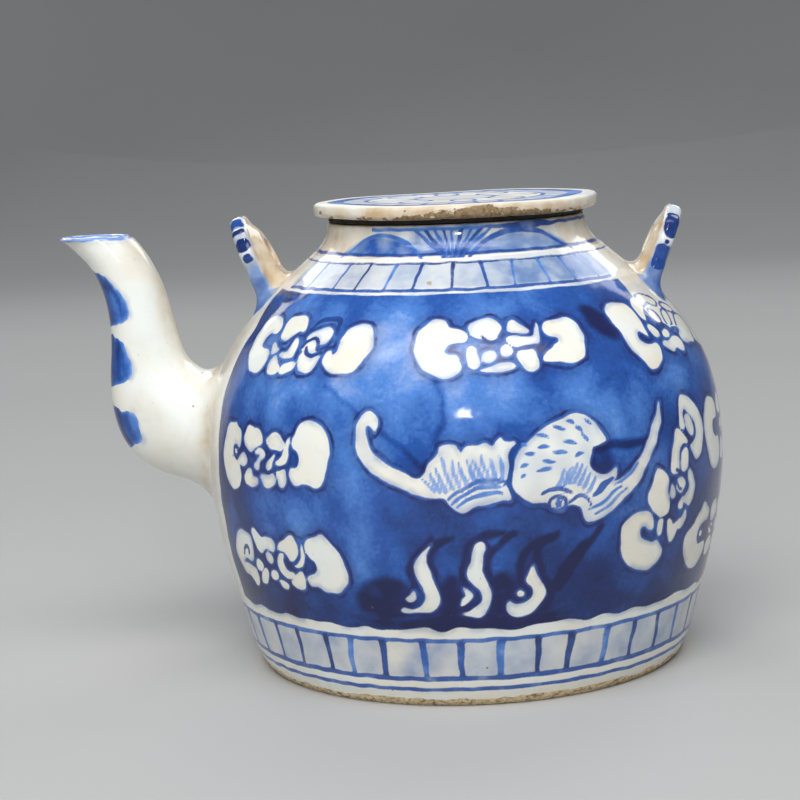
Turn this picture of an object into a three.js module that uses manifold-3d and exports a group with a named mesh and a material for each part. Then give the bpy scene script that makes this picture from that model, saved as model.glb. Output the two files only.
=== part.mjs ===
// A porcelain teapot with a barrel body, a curved spout, two bail lugs and a flat lid.
// Millimetres, +Z up. The pot stands on z = 0, the spout points along -X, and y = 0 is its
// plane of symmetry. The origin is the middle of the footprint of the whole teapot.

import * as THREE from 'three';
import Module from 'manifold-3d';

const wasm = await Module();
wasm.setup();

// ---------------------------------------------------------------- driving dimensions

const GAP = 0.3; // clearance left wherever two pieces touch
const TURN_SEGMENTS = 64; // facets round the turned pieces

// The turned body: outer radius at each height, from the foot to the shoulder.
const BODY_STATIONS = [
  { z: 0, r: 66.4 },
  { z: 8, r: 69.9 },
  { z: 20, r: 73.2 },
  { z: 40, r: 78.3 },
  { z: 62, r: 81.0 },
  { z: 84, r: 79.0 },
  { z: 102, r: 71.6 },
  { z: 116, r: 59.5 },
  { z: 128.6, r: 45.2 },
];
const BELLY_RADIUS = 81;
const SHOULDER_Z = 128.6;
const SEAM_Z = 50; // where the two halves of the body are joined
const WALL = 4.5;
const FLOOR_THICKNESS = 5.5;

const FOOT_HEIGHT = 4;
const FOOT_WIDTH = 7.5;
const FOOT_CHAMFER = 0.8;

const NECK_TOP_Z = 138.2;
const NECK_BORE_RADIUS = 36;
const NECK_RIM_RADIUS = 40.2;
const NECK_ROOT_RADIUS = 44.9;

const LID_RADIUS = 44.5;
const LID_BOTTOM_Z = 140.7;
const LID_TOP_Z = 144.6;
const LID_EDGE_ROUND = 1.3;
const LID_VENT_RADIUS = 1.5;
const LID_VENT_OFFSET = 20;
const SEAT_RADIUS = 39.7;
const FLANGE_RADIUS = 34.6;
const FLANGE_WALL = 3.4;
const FLANGE_BOTTOM_Z = 128;

// The spout's centre line from inside the body out past the lip: distance in front of the
// pot's axis, height, and half the outer height and width of the section there.
const SPOUT_STATIONS = [
  { x: 66, z: 74.4, high: 19.2, wide: 16.6 },
  { x: 78, z: 74.6, high: 18.6, wide: 16.2 },
  { x: 87, z: 76.2, high: 17.6, wide: 15.2 },
  { x: 94.2, z: 81.6, high: 15.8, wide: 13.8 },
  { x: 98.7, z: 90.5, high: 13.2, wide: 12.2 },
  { x: 100.4, z: 100, high: 11.3, wide: 11 },
  { x: 101.3, z: 110, high: 10.3, wide: 10.2 },
  { x: 103.5, z: 119.5, high: 9.8, wide: 9.6 },
  { x: 107.8, z: 128.4, high: 9.6, wide: 9.2 },
  { x: 113.8, z: 137, high: 9.7, wide: 9 },
  { x: 118.6, z: 142.6, high: 9.8, wide: 8.9 },
];
const SPOUT_LIP_Z = 136.6;
const SPOUT_REACH = 126; // from the pot's axis to the tip of the lip
const SPOUT_WALL_ROOT = 3.4;
const SPOUT_WALL_LIP = 2.1;
const SPOUT_RINGS = 22;
const SPOUT_SEGMENTS = 28;

// Strainer holes pierced through the wall behind the spout: one in the middle, six round it.
const STRAINER_HOLE_RADIUS = 2.1;
const STRAINER_RING_RADIUS = 7.6;
const STRAINER_Z = 75;
const STRAINER_RING_COUNT = 6;

// A lug is a tab that stands on the shoulder and leans outwards.
const LUG_WIDTH = 25;
const LUG_THICKNESS = 5.2;
const LUG_BEVEL = 0.9;
const LUG_LEAN = THREE.MathUtils.degToRad(21);
const LUG_ROOT_RADIUS = 59.9; // the middle of the tab, LUG_ROOT_Z above the ground
const LUG_ROOT_Z = 117.3;
const LUG_HEIGHT = 25.4; // along the tab, from the root to the top
const LUG_BURIED = 9; // how far the tab is drawn below the root before it is trimmed
const LUG_HOLE_RADIUS = 4;
const LUG_HOLE_Z = 129;
const LUG_LOBE_DEPTH = 0.8;
const LUG_LOBES = 5;

// The pot's axis stands off the origin, because the spout reaches further than the belly.
const AXIS_X = (SPOUT_REACH - BELLY_RADIUS) / 2;

// ---------------------------------------------------------------- materials

function ceramic(color, roughness) {
  return new THREE.MeshStandardMaterial({ color, roughness, metalness: 0 });
}

const COBALT_GLAZE = 0x2a4f9c;
const WHITE_GLAZE = 0xd8ddd6;
const PALE_BLUE_GLAZE = 0x8fa3c4;
const BURNT_CLAY = 0x96703f;
const DARK_CLAY = 0x2b2622;

// ---------------------------------------------------------------- solids and booleans

function solidFrom(geometry) {
  const flat = new Map();
  const positions = [];
  const source = geometry.getAttribute('position');
  const index = geometry.index ? [...geometry.index.array] : [...Array(source.count).keys()];
  const triVerts = index.map((i) => {
    const p = [source.getX(i), source.getY(i), source.getZ(i)];
    const key = p.map((value) => Math.round(value * 1e4)).join();
    if (!flat.has(key)) {
      flat.set(key, flat.size);
      positions.push(...p);
    }
    return flat.get(key);
  });
  const whole = [];
  for (let i = 0; i < triVerts.length; i += 3) {
    const [a, b, c] = triVerts.slice(i, i + 3);
    if (a !== b && b !== c && c !== a) whole.push(a, b, c);
  }
  return new wasm.Manifold(
    new wasm.Mesh({
      numProp: 3,
      vertProperties: new Float32Array(positions),
      triVerts: new Uint32Array(whole),
    }),
  );
}

function geometryFrom(solid) {
  const mesh = solid.getMesh();
  const geometry = new THREE.BufferGeometry();
  geometry.setAttribute('position', new THREE.BufferAttribute(mesh.vertProperties, 3));
  geometry.setIndex(new THREE.BufferAttribute(mesh.triVerts, 1));
  geometry.computeVertexNormals();
  return geometry;
}

// Turns a closed outline of [radius, height] points round the pot's axis.
// The outline runs up the outside and back down the inside.
function turned(outline) {
  const points = outline.map(([r, z]) => new THREE.Vector2(r, z));
  const geometry = new THREE.LatheGeometry([...points, points[0]], TURN_SEGMENTS);
  geometry.rotateX(Math.PI / 2);
  return solidFrom(geometry);
}

// ---------------------------------------------------------------- the body's outline

// Slope of the outline at one station, from its neighbours.
function stationSlope(i) {
  const before = BODY_STATIONS[Math.max(i - 1, 0)];
  const after = BODY_STATIONS[Math.min(i + 1, BODY_STATIONS.length - 1)];
  return (after.r - before.r) / (after.z - before.z);
}

// Outer radius of the body at a height, as a smooth cubic between the stations.
function bodyRadius(z) {
  const last = BODY_STATIONS.length - 2;
  const found = BODY_STATIONS.findIndex((station) => z < station.z) - 1;
  const i = found < 0 ? last : Math.min(found, last);
  const a = BODY_STATIONS[i];
  const b = BODY_STATIONS[i + 1];
  const span = b.z - a.z;
  const t = (z - a.z) / span;
  const fromA = (1 + 2 * t) * (1 - t) ** 2 * a.r + t * (1 - t) ** 2 * span * stationSlope(i);
  const fromB = t * t * (3 - 2 * t) * b.r + t * t * (t - 1) * span * stationSlope(i + 1);
  return fromA + fromB;
}

// Points up the body's outer face, or the same face moved inwards by a distance.
function bodyFace(zLow, zHigh, steps, inwards = 0) {
  return Array.from({ length: steps + 1 }, (_, i) => {
    const z = zLow + ((zHigh - zLow) * i) / steps;
    const slope = (bodyRadius(z + 0.05) - bodyRadius(z - 0.05)) / 0.1;
    const length = Math.hypot(1, slope);
    return [bodyRadius(z) - inwards / length, z + (inwards * slope) / length];
  });
}

// ---------------------------------------------------------------- turned pieces

function footRing() {
  const inner = BODY_STATIONS[0].r - FOOT_WIDTH;
  return turned([
    [inner + FOOT_CHAMFER, 0],
    [bodyRadius(0) - FOOT_CHAMFER, 0],
    [bodyRadius(FOOT_CHAMFER), FOOT_CHAMFER],
    [bodyRadius(FOOT_HEIGHT), FOOT_HEIGHT],
    [inner, FOOT_HEIGHT],
    [inner, FOOT_CHAMFER],
  ]);
}

function bodyLower() {
  const base = FOOT_HEIGHT + GAP;
  const floorTop = base + FLOOR_THICKNESS;
  const cornerRound = 6;
  return turned([
    [0, base],
    ...bodyFace(base, SEAM_Z, 7),
    [bodyRadius(SEAM_Z) - WALL, SEAM_Z],
    ...bodyFace(floorTop + cornerRound, SEAM_Z - 8, 4, WALL).reverse(),
    [bodyRadius(floorTop) - WALL - cornerRound * 0.3, floorTop + cornerRound * 0.3],
    [bodyRadius(floorTop) - WALL - cornerRound, floorTop],
    [0, floorTop],
  ]);
}

function bodyUpper() {
  const seam = SEAM_Z + GAP;
  const mouthDrop = 3;
  const shell = turned([
    ...bodyFace(seam, SHOULDER_Z, 12),
    [NECK_BORE_RADIUS, SHOULDER_Z],
    [NECK_BORE_RADIUS, SHOULDER_Z - mouthDrop],
    ...bodyFace(seam + 8, SHOULDER_Z - 1, 9, WALL).reverse(),
    [bodyRadius(seam) - WALL, seam],
  ]);
  return shell.subtract(strainerDrills());
}

// Rods along X through the wall behind the spout, still centred on the pot's axis.
function strainerDrills() {
  const centres = [[0, 0]];
  for (let i = 0; i < STRAINER_RING_COUNT; i += 1) {
    const angle = (i * 2 * Math.PI) / STRAINER_RING_COUNT;
    centres.push([STRAINER_RING_RADIUS * Math.cos(angle), STRAINER_RING_RADIUS * Math.sin(angle)]);
  }
  const rods = centres.map(([y, z]) => {
    const rod = new THREE.CylinderGeometry(STRAINER_HOLE_RADIUS, STRAINER_HOLE_RADIUS, 40, 12);
    rod.rotateZ(Math.PI / 2);
    rod.translate(-BELLY_RADIUS, y, STRAINER_Z + z);
    return solidFrom(rod);
  });
  return wasm.Manifold.union(rods);
}

function neckCollar() {
  const base = SHOULDER_Z + GAP;
  const rise = NECK_TOP_Z - base;
  const flare = NECK_ROOT_RADIUS - NECK_RIM_RADIUS;
  const outside = Array.from({ length: 6 }, (_, i) => {
    const up = i / 5;
    return [NECK_RIM_RADIUS + flare * (1 - up) ** 2.4, base + rise * up * 0.94];
  });
  return turned([
    [NECK_BORE_RADIUS, base],
    ...outside,
    [NECK_RIM_RADIUS - 0.5, NECK_TOP_Z],
    [NECK_BORE_RADIUS, NECK_TOP_Z],
  ]);
}

// ---------------------------------------------------------------- spout

function spoutSection(curves, t, thinner) {
  const centre = curves.centre.getPoint(t);
  const size = curves.size.getPoint(t);
  const along = curves.centre.getTangent(t).normalize();
  const across = new THREE.Vector3(along.z, 0, -along.x);
  return Array.from({ length: SPOUT_SEGMENTS }, (_, i) => {
    const angle = (i * 2 * Math.PI) / SPOUT_SEGMENTS;
    return centre
      .clone()
      .addScaledVector(across, (size.x - thinner) * Math.cos(angle))
      .add(new THREE.Vector3(0, (size.y - thinner) * Math.sin(angle), 0));
  });
}

// A closed tube along the spout's centre line, thinner than its outside by the wall.
function spoutTube(wallRoot, wallLip) {
  const curves = {
    centre: new THREE.CatmullRomCurve3(SPOUT_STATIONS.map((s) => new THREE.Vector3(-s.x, 0, s.z))),
    size: new THREE.CatmullRomCurve3(
      SPOUT_STATIONS.map((s) => new THREE.Vector3(s.high, s.wide, 0)),
    ),
  };
  const points = [];
  for (let ring = 0; ring <= SPOUT_RINGS; ring += 1) {
    const t = ring / SPOUT_RINGS;
    points.push(...spoutSection(curves, t, THREE.MathUtils.lerp(wallRoot, wallLip, t)));
  }
  points.push(curves.centre.getPoint(0), curves.centre.getPoint(1));
  const firstCentre = points.length - 2;
  const lastCentre = points.length - 1;
  const lastRing = SPOUT_RINGS * SPOUT_SEGMENTS;
  const index = [];
  for (let i = 0; i < SPOUT_SEGMENTS; i += 1) {
    const next = (i + 1) % SPOUT_SEGMENTS;
    index.push(firstCentre, next, i);
    index.push(lastCentre, lastRing + i, lastRing + next);
    for (let row = 0; row < lastRing; row += SPOUT_SEGMENTS) {
      const [a, b] = [row + i, row + next];
      index.push(a, b, b + SPOUT_SEGMENTS);
      index.push(a, b + SPOUT_SEGMENTS, a + SPOUT_SEGMENTS);
    }
  }
  const geometry = new THREE.BufferGeometry().setFromPoints(points);
  geometry.setIndex(index);
  return solidFrom(geometry);
}

// Everything inside the body's outer face, grown by the gap, as a solid to cut with.
function bodyEnvelope() {
  return turned([[0, 0], ...bodyFace(0, SHOULDER_Z, 24, -GAP), [0, SHOULDER_Z]]);
}

function spout() {
  const aboveLip = new THREE.BoxGeometry(80, 60, 40);
  aboveLip.translate(-110, 0, SPOUT_LIP_Z + 20);
  return spoutTube(0, 0)
    .subtract(spoutTube(SPOUT_WALL_ROOT, SPOUT_WALL_LIP))
    .subtract(solidFrom(aboveLip))
    .subtract(bodyEnvelope());
}

// ---------------------------------------------------------------- lugs

// The tab's outline: straight sides, a round top, and shallow lobes along the round.
function lugOutline() {
  const half = LUG_WIDTH / 2;
  const shape = new THREE.Shape();
  shape.moveTo(-half, -LUG_BURIED);
  shape.lineTo(half, -LUG_BURIED);
  const steps = 24;
  for (let i = 0; i <= steps; i += 1) {
    const angle = (i * Math.PI) / steps;
    const lobe = 1 - (LUG_LOBE_DEPTH / half) * Math.cos(angle * LUG_LOBES) ** 2;
    const squareness = 1 + 0.08 * Math.sin(2 * angle) ** 2;
    const x = half * Math.cos(angle) * lobe * squareness;
    const y = LUG_HEIGHT - half + half * Math.sin(angle) * lobe * squareness;
    shape.lineTo(x, y);
  }
  return shape;
}

// One lug on the +X side of the pot's axis, trimmed to stand on the shoulder.
function lug() {
  const depth = LUG_THICKNESS - 2 * LUG_BEVEL;
  const tab = new THREE.ExtrudeGeometry(lugOutline(), {
    depth,
    bevelThickness: LUG_BEVEL,
    bevelSize: LUG_BEVEL,
    bevelOffset: -LUG_BEVEL,
    bevelSegments: 2,
    curveSegments: 1,
  });
  tab.translate(0, 0, -depth / 2);
  tab.rotateX(Math.PI / 2);
  tab.rotateZ(Math.PI / 2);
  tab.rotateY(LUG_LEAN);
  tab.translate(LUG_ROOT_RADIUS, 0, LUG_ROOT_Z);
  const hole = new THREE.CylinderGeometry(LUG_HOLE_RADIUS, LUG_HOLE_RADIUS, 40, 20);
  hole.rotateZ(Math.PI / 2);
  hole.translate(LUG_ROOT_RADIUS, 0, LUG_HOLE_Z);
  return solidFrom(tab).subtract(solidFrom(hole)).subtract(bodyEnvelope());
}

// ---------------------------------------------------------------- lid

function lidPlate() {
  const plate = turned([
    [0, LID_BOTTOM_Z],
    [LID_RADIUS - LID_EDGE_ROUND, LID_BOTTOM_Z],
    [LID_RADIUS - LID_EDGE_ROUND * 0.3, LID_BOTTOM_Z + LID_EDGE_ROUND * 0.35],
    [LID_RADIUS, LID_BOTTOM_Z + LID_EDGE_ROUND],
    [LID_RADIUS, LID_TOP_Z - LID_EDGE_ROUND],
    [LID_RADIUS - LID_EDGE_ROUND * 0.3, LID_TOP_Z - LID_EDGE_ROUND * 0.35],
    [LID_RADIUS - LID_EDGE_ROUND, LID_TOP_Z],
    [0, LID_TOP_Z],
  ]);
  const vent = new THREE.CylinderGeometry(LID_VENT_RADIUS, LID_VENT_RADIUS, 20, 12);
  vent.rotateX(Math.PI / 2);
  vent.translate(LID_VENT_OFFSET, 0, LID_TOP_Z);
  return plate.subtract(solidFrom(vent));
}

function lidSeatRing() {
  const inner = FLANGE_RADIUS + GAP;
  return turned([
    [inner, NECK_TOP_Z + GAP],
    [SEAT_RADIUS, NECK_TOP_Z + GAP],
    [SEAT_RADIUS, LID_BOTTOM_Z - GAP],
    [inner, LID_BOTTOM_Z - GAP],
  ]);
}

function lidFlange() {
  return turned([
    [FLANGE_RADIUS - FLANGE_WALL, FLANGE_BOTTOM_Z],
    [FLANGE_RADIUS - 1, FLANGE_BOTTOM_Z],
    [FLANGE_RADIUS, FLANGE_BOTTOM_Z + 1.5],
    [FLANGE_RADIUS, LID_BOTTOM_Z - GAP],
    [FLANGE_RADIUS - FLANGE_WALL, LID_BOTTOM_Z - GAP],
  ]);
}

// ---------------------------------------------------------------- assembly

function piece(name, solid, color, roughness) {
  const mesh = new THREE.Mesh(geometryFrom(solid), ceramic(color, roughness));
  mesh.name = name;
  return mesh;
}

const pot = new THREE.Group();
pot.add(
  piece('foot_ring', footRing(), BURNT_CLAY, 0.9),
  piece('body_lower', bodyLower(), COBALT_GLAZE, 0.15),
  piece('body_upper', bodyUpper(), COBALT_GLAZE, 0.15),
  piece('neck_collar', neckCollar(), PALE_BLUE_GLAZE, 0.15),
  piece('spout', spout(), WHITE_GLAZE, 0.15),
);

const lugFront = piece('lug_front', lug(), PALE_BLUE_GLAZE, 0.2);
lugFront.rotation.z = Math.PI;
const lugRear = piece('lug_rear', lug(), PALE_BLUE_GLAZE, 0.2);
pot.add(lugFront, lugRear);

const lid = new THREE.Group();
lid.add(
  piece('lid_plate', lidPlate(), WHITE_GLAZE, 0.2),
  piece('lid_seat_ring', lidSeatRing(), DARK_CLAY, 0.9),
  piece('lid_flange', lidFlange(), BURNT_CLAY, 0.85),
);

const teapot = new THREE.Group();
teapot.add(pot, lid);
teapot.position.x = AXIS_X;

export default teapot;
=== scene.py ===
"""A blue-and-white porcelain teapot: the looks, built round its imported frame.

Everything is worked out in millimetres round the pot's own axis, with z up, the spout towards
-X and the painted front towards -Y, and is turned into metres in the frame when a mesh is made.
"""

import math

import bpy
import numpy as np
from mathutils import Matrix, Vector


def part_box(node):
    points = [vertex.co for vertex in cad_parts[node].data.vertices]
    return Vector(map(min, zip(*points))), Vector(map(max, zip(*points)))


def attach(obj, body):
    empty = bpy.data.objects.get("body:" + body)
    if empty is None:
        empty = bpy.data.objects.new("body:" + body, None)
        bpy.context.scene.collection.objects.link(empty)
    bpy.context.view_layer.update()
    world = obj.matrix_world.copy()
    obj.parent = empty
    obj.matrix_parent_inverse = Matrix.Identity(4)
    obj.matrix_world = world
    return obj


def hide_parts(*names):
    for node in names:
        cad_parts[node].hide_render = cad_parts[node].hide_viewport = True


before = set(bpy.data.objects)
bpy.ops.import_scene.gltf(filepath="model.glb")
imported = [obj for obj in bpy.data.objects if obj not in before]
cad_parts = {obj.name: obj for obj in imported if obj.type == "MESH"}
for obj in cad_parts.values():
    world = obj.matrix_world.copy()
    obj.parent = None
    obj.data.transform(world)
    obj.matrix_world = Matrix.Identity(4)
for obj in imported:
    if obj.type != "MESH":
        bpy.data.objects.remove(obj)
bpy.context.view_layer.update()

# ---------------- sizes, in millimetres

MM = 0.001
lid_low, lid_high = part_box("lid_plate")
AXIS_X = (lid_low.x + lid_high.x) / 2 / MM  # the pot's axis stands off the frame's origin

# The turned wall: height and outer radius, from the foot to the shoulder.
WALL_STATIONS = (
    (0, 66.4), (8, 69.9), (20, 73.2), (40, 78.3), (62, 81.0),
    (84, 79.0), (102, 71.6), (116, 59.5), (128.6, 45.2),
)
WALL = 4.5
FLOOR_TOP = 9.8
FOOT_TOP = 4.15  # pieces of the pot meet in the middle of the frame's clearances
SEAM_Z = 50.15
SHOULDER_Z = 128.75
NECK_ROOT_RADIUS = 44.9
NECK_RIM_RADIUS = 40.2
NECK_BORE_RADIUS = 36.0
NECK_TOP = 138.2
LID_RADIUS = (lid_high.x - lid_low.x) / 2 / MM
LID_BOTTOM = lid_low.z / MM
LID_TOP = lid_high.z / MM
LIP_Z = 136.6
WALL_COLUMNS, RING_COLUMNS, LID_COLUMNS, SEAT_COLUMNS, FLANGE_COLUMNS = 640, 480, 420, 360, 240
ROW = 0.74  # height of one row of the painted wall, along it
CREASE = 35  # degrees between faces that meet in a sharp edge
ROD_SIDES = 24
FAR = 9.0  # a distance that means nothing is drawn here

# ---------------- the wall's outline

STATION_Z, STATION_R = (np.array(column, float) for column in zip(*WALL_STATIONS))
STATION_SLOPE = np.array([
    (STATION_R[min(i + 1, len(STATION_R) - 1)] - STATION_R[max(i - 1, 0)])
    / (STATION_Z[min(i + 1, len(STATION_Z) - 1)] - STATION_Z[max(i - 1, 0)])
    for i in range(len(STATION_Z))
])


def wall_radius(z):
    """Outer radius of the wall at a height: a smooth cubic between the stations."""
    z = np.asarray(z, float)
    i = np.clip(np.searchsorted(STATION_Z, z, side="right") - 1, 0, len(STATION_Z) - 2)
    span = STATION_Z[i + 1] - STATION_Z[i]
    t = (z - STATION_Z[i]) / span
    below = (1 + 2 * t) * (1 - t) ** 2 * STATION_R[i] + t * (1 - t) ** 2 * span * STATION_SLOPE[i]
    above = t * t * (3 - 2 * t) * STATION_R[i + 1] + t * t * (t - 1) * span * STATION_SLOPE[i + 1]
    return below + above


def wall_slope(z):
    return (wall_radius(z + 0.05) - wall_radius(z - 0.05)) / 0.1


TABLE_Z = np.linspace(0, SHOULDER_Z, 1300)
TABLE_ARC = np.concatenate([
    [0], np.cumsum(np.hypot(np.diff(TABLE_Z), np.diff(wall_radius(TABLE_Z)))),
])


def arc_at(z):
    """Distance along the wall's outline from the ground to a height."""
    return np.interp(z, TABLE_Z, TABLE_ARC)


def height_at(arc):
    return np.interp(arc, TABLE_ARC, TABLE_Z)


def wall_rows(z_low, z_high, count, inwards=0.0):
    """(radius, height) points up the wall, evenly spaced along it, or moved inwards."""
    z = height_at(np.linspace(arc_at(z_low), arc_at(z_high), count + 1))
    slope = wall_slope(z)
    length = np.hypot(1, slope)
    return np.column_stack([wall_radius(z) - inwards / length, z + inwards * slope / length])


def wall_distance(points):
    """Rough signed distance from the wall's outer face, positive outside."""
    z = np.clip(points[:, 2], 0, SHOULDER_Z + 4)
    slope = wall_slope(z)
    return (np.hypot(points[:, 0], points[:, 1]) - wall_radius(z)) / np.hypot(1, slope)


# ---------------- making meshes


def add_mesh(name, points, faces):
    """A smooth-shaded object from points in metres."""
    mesh = bpy.data.meshes.new(name)
    mesh.from_pydata(points.tolist(), [], faces)
    mesh.validate()
    mesh.shade_smooth()
    thing = bpy.data.objects.new(name, mesh)
    bpy.context.scene.collection.objects.link(thing)
    return thing


def to_metres(points):
    """From millimetres round the pot's axis to metres in the frame."""
    return (np.asarray(points, float) + (AXIS_X, 0, 0)) * MM


def make_piece(name, points, faces, body, node, slot, crease=CREASE):
    """A smooth-shaded mesh that rides on a body and stands for one CAD node."""
    piece = add_mesh(name, to_metres(points), faces)
    piece.data.set_sharp_from_angle(angle=math.radians(crease))
    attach(piece, body)
    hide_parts(node)
    return piece


def points_of(piece):
    """A piece's vertices, in millimetres round the pot's axis."""
    flat = np.zeros(len(piece.data.vertices) * 3, np.float32)
    piece.data.vertices.foreach_get("co", flat)
    return flat.reshape(-1, 3).astype(float) / MM - (AXIS_X, 0, 0)


def ring_faces(rows, columns, closed_rows=False):
    """Quads between rings of vertices stored one after another."""
    quads = []
    last = rows if closed_rows else rows - 1
    for row in range(last):
        low = row * columns
        high = ((row + 1) % rows) * columns
        for i in range(columns):
            j = (i + 1) % columns
            quads.append((low + i, low + j, high + j, high + i))
    return quads


def turned(outline, columns):
    """Points and faces of an outline turned round the axis: up the outside, down the inside.

    An outline that starts and ends on the axis is closed there with a fan, and any other
    outline closes on itself.
    """
    outline = np.asarray(outline, float)
    turn = np.arange(columns) * 2 * math.pi / columns
    rings = outline[outline[:, 0] > 0]
    points = np.stack([
        rings[:, :1] * np.cos(turn), rings[:, :1] * np.sin(turn),
        np.repeat(rings[:, 1:], columns, axis=1),
    ], axis=-1).reshape(-1, 3)
    if len(rings) == len(outline):
        return points, ring_faces(len(rings), columns, closed_rows=True)
    faces = ring_faces(len(rings), columns)
    first, last = len(points), len(points) + 1
    top = (len(rings) - 1) * columns
    for i in range(columns):
        j = (i + 1) % columns
        faces.append((first, j, i))
        faces.append((last, top + i, top + j))
    points = np.vstack([points, [(0, 0, outline[0, 1]), (0, 0, outline[-1, 1])]])
    return points, faces


def bend(centre_r, centre_z, radius, start, end, steps):
    """(radius, height) points round an arc, with angles in degrees from outwards to up."""
    angles = np.radians(np.linspace(start, end, steps + 1))
    return np.column_stack([
        centre_r + radius * np.cos(angles), centre_z + radius * np.sin(angles),
    ])


def push_out(points, distance, radius):
    """Moves the points of a ring of about this radius outwards."""
    points[:, :2] *= (1 + distance / radius)[:, None]


def rods(centres, radius, ends):
    """Points and faces of upright rods between two heights."""
    turn = np.arange(ROD_SIDES) * 2 * math.pi / ROD_SIDES
    circle = np.column_stack([radius * np.cos(turn), radius * np.sin(turn)])
    rod = ring_faces(2, ROD_SIDES)
    rod += [tuple(range(ROD_SIDES))[::-1], tuple(range(ROD_SIDES, 2 * ROD_SIDES))]
    points, faces = [], []
    for centre in centres:
        faces += [tuple(len(points) + i for i in face) for face in rod]
        for end in ends:
            points += [(x, y, end) for x, y in circle + centre]
    return np.array(points), faces


def cut(piece, points, faces):
    """Cuts a closed mesh, given in millimetres, out of a piece for good."""
    tool = add_mesh("cutter", to_metres(points), faces)
    modifier = piece.modifiers.new("cut", "BOOLEAN")
    modifier.operation = "DIFFERENCE"
    modifier.solver = "MANIFOLD"
    modifier.object = tool
    bpy.context.view_layer.update()
    evaluated = piece.evaluated_get(bpy.context.evaluated_depsgraph_get())
    whole = bpy.data.meshes.new_from_object(evaluated)
    piece.modifiers.clear()
    piece.data = whole
    whole.materials.clear()
    bpy.data.objects.remove(tool)
    whole.shade_smooth()
    whole.set_sharp_from_angle(angle=math.radians(CREASE))


def ripple(points, wavelength, seed, waves=7):
    """Smooth random waves through space, from about -1 to 1."""
    draw = np.random.default_rng(seed)
    total = np.zeros(len(points))
    for _ in range(waves):
        direction = draw.normal(size=3)
        direction /= np.linalg.norm(direction)
        turns = draw.uniform(0.7, 1.4) / wavelength
        total += np.sin(2 * math.pi * turns * (points @ direction) + draw.uniform(0, 6.3))
    return total / math.sqrt(waves)


# ---------------- drawing with distances


def curve_through(points, steps=6, closed=False):
    """A smooth line through points of any number of values."""
    p = np.asarray(points, float)
    if closed:
        p = np.vstack([p[-1], p, p[0], p[1]])
    else:
        p = np.vstack([2 * p[0] - p[1], p, 2 * p[-1] - p[-2]])
    t = np.linspace(0, 1, steps, endpoint=False)[:, None]
    parts = []
    for a, b, c, d in zip(p, p[1:], p[2:], p[3:]):
        parts.append(
            b + 0.5 * t * (c - a + t * (2 * a - 5 * b + 4 * c - d + t * (3 * (b - c) + d - a)))
        )
    line = np.vstack(parts)
    return line if closed else np.vstack([line, p[-2]])


def ellipse(x, y, centre_x, centre_y, half_x, half_y, tilt=0):
    """Distance from an ellipse's edge, negative inside."""
    cos, sin = math.cos(math.radians(tilt)), math.sin(math.radians(tilt))
    u = (x - centre_x) * cos + (y - centre_y) * sin
    v = (y - centre_y) * cos - (x - centre_x) * sin
    k = np.hypot(u / half_x, v / half_y)
    return k * (k - 1) / (np.hypot(u / half_x**2, v / half_y**2) + 1e-9)


def from_segment(x, y, ax, ay, bx, by):
    """How far points are from a straight line, and how far along it the nearest place is."""
    dx, dy = bx - ax, by - ay
    t = np.clip(((x - ax) * dx + (y - ay) * dy) / (dx * dx + dy * dy + 1e-9), 0, 1)
    return np.hypot(x - ax - t * dx, y - ay - t * dy), t


def stroke(x, y, points, steps=6):
    """Distance from a brush stroke through (x, y, half width) points, negative inside."""
    line = curve_through(points, steps)
    best = np.full(len(x), 99.0)
    for (ax, ay, aw), (bx, by, bw) in zip(line, line[1:]):
        away, t = from_segment(x, y, ax, ay, bx, by)
        best = np.minimum(best, away - (aw + t * (bw - aw)))
    return best


def outline_shape(x, y, points, steps=4):
    """Distance from a closed smooth outline through (x, y) points, negative inside."""
    line = curve_through(points, steps, closed=True)
    edge = np.full(len(x), 99.0)
    inside = np.zeros(len(x), bool)
    for (ax, ay), (bx, by) in zip(line, np.roll(line, -1, axis=0)):
        edge = np.minimum(edge, from_segment(x, y, ax, ay, bx, by)[0])
        crosses = (ay > y) != (by > y)
        inside ^= crosses & (x < ax + (y - ay) * (bx - ax) / (by - ay or 1e-9))
    return np.where(inside, -edge, edge)


def run_together(a, b, reach):
    """The union of two shapes, with the corner between them filled in."""
    h = np.clip(0.5 + 0.5 * (b - a) / reach, 0, 1)
    return b + (a - b) * h - reach * h * (1 - h)


def rise(value, low, high):
    """0 below low, 1 above high, and smooth between them."""
    t = np.clip((value - low) / (high - low), 0, 1)
    return t * t * (3 - 2 * t)


def between(value, low, inner_low, inner_high, high):
    """1 between the inner limits, 0 beyond the outer ones, and smooth between them."""
    return rise(value, low, inner_low) * (1 - rise(value, inner_high, high))


def bump(value, centre, width):
    """1 at the centre, and falling away smoothly on both sides of it."""
    return np.exp(-((value - centre) / width) ** 2)


FIELDS = {"ground": FAR, "halo": FAR, "lines": FAR, "depth": 0.0, "wash": 0.0, "tone": 0.5,
          "stain": 0.0, "iron": 0.0}


def paint(piece, **fields):
    """Stores what is painted on a piece as one value per vertex. What isn't given is bare glaze."""
    count = len(piece.data.vertices)
    for name, bare in FIELDS.items():
        values = np.broadcast_to(np.asarray(fields.get(name, bare), np.float32), count)
        attribute = piece.data.attributes.new(name, "FLOAT", "POINT")
        attribute.data.foreach_set("value", np.ascontiguousarray(values, np.float32))


def paths(text):
    """Reads paths divided by semicolons. Each is a row of points: x,y or x,y,half width."""
    return [[tuple(map(float, point.split(","))) for point in path.split()]
            for path in text.split(";")]


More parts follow.
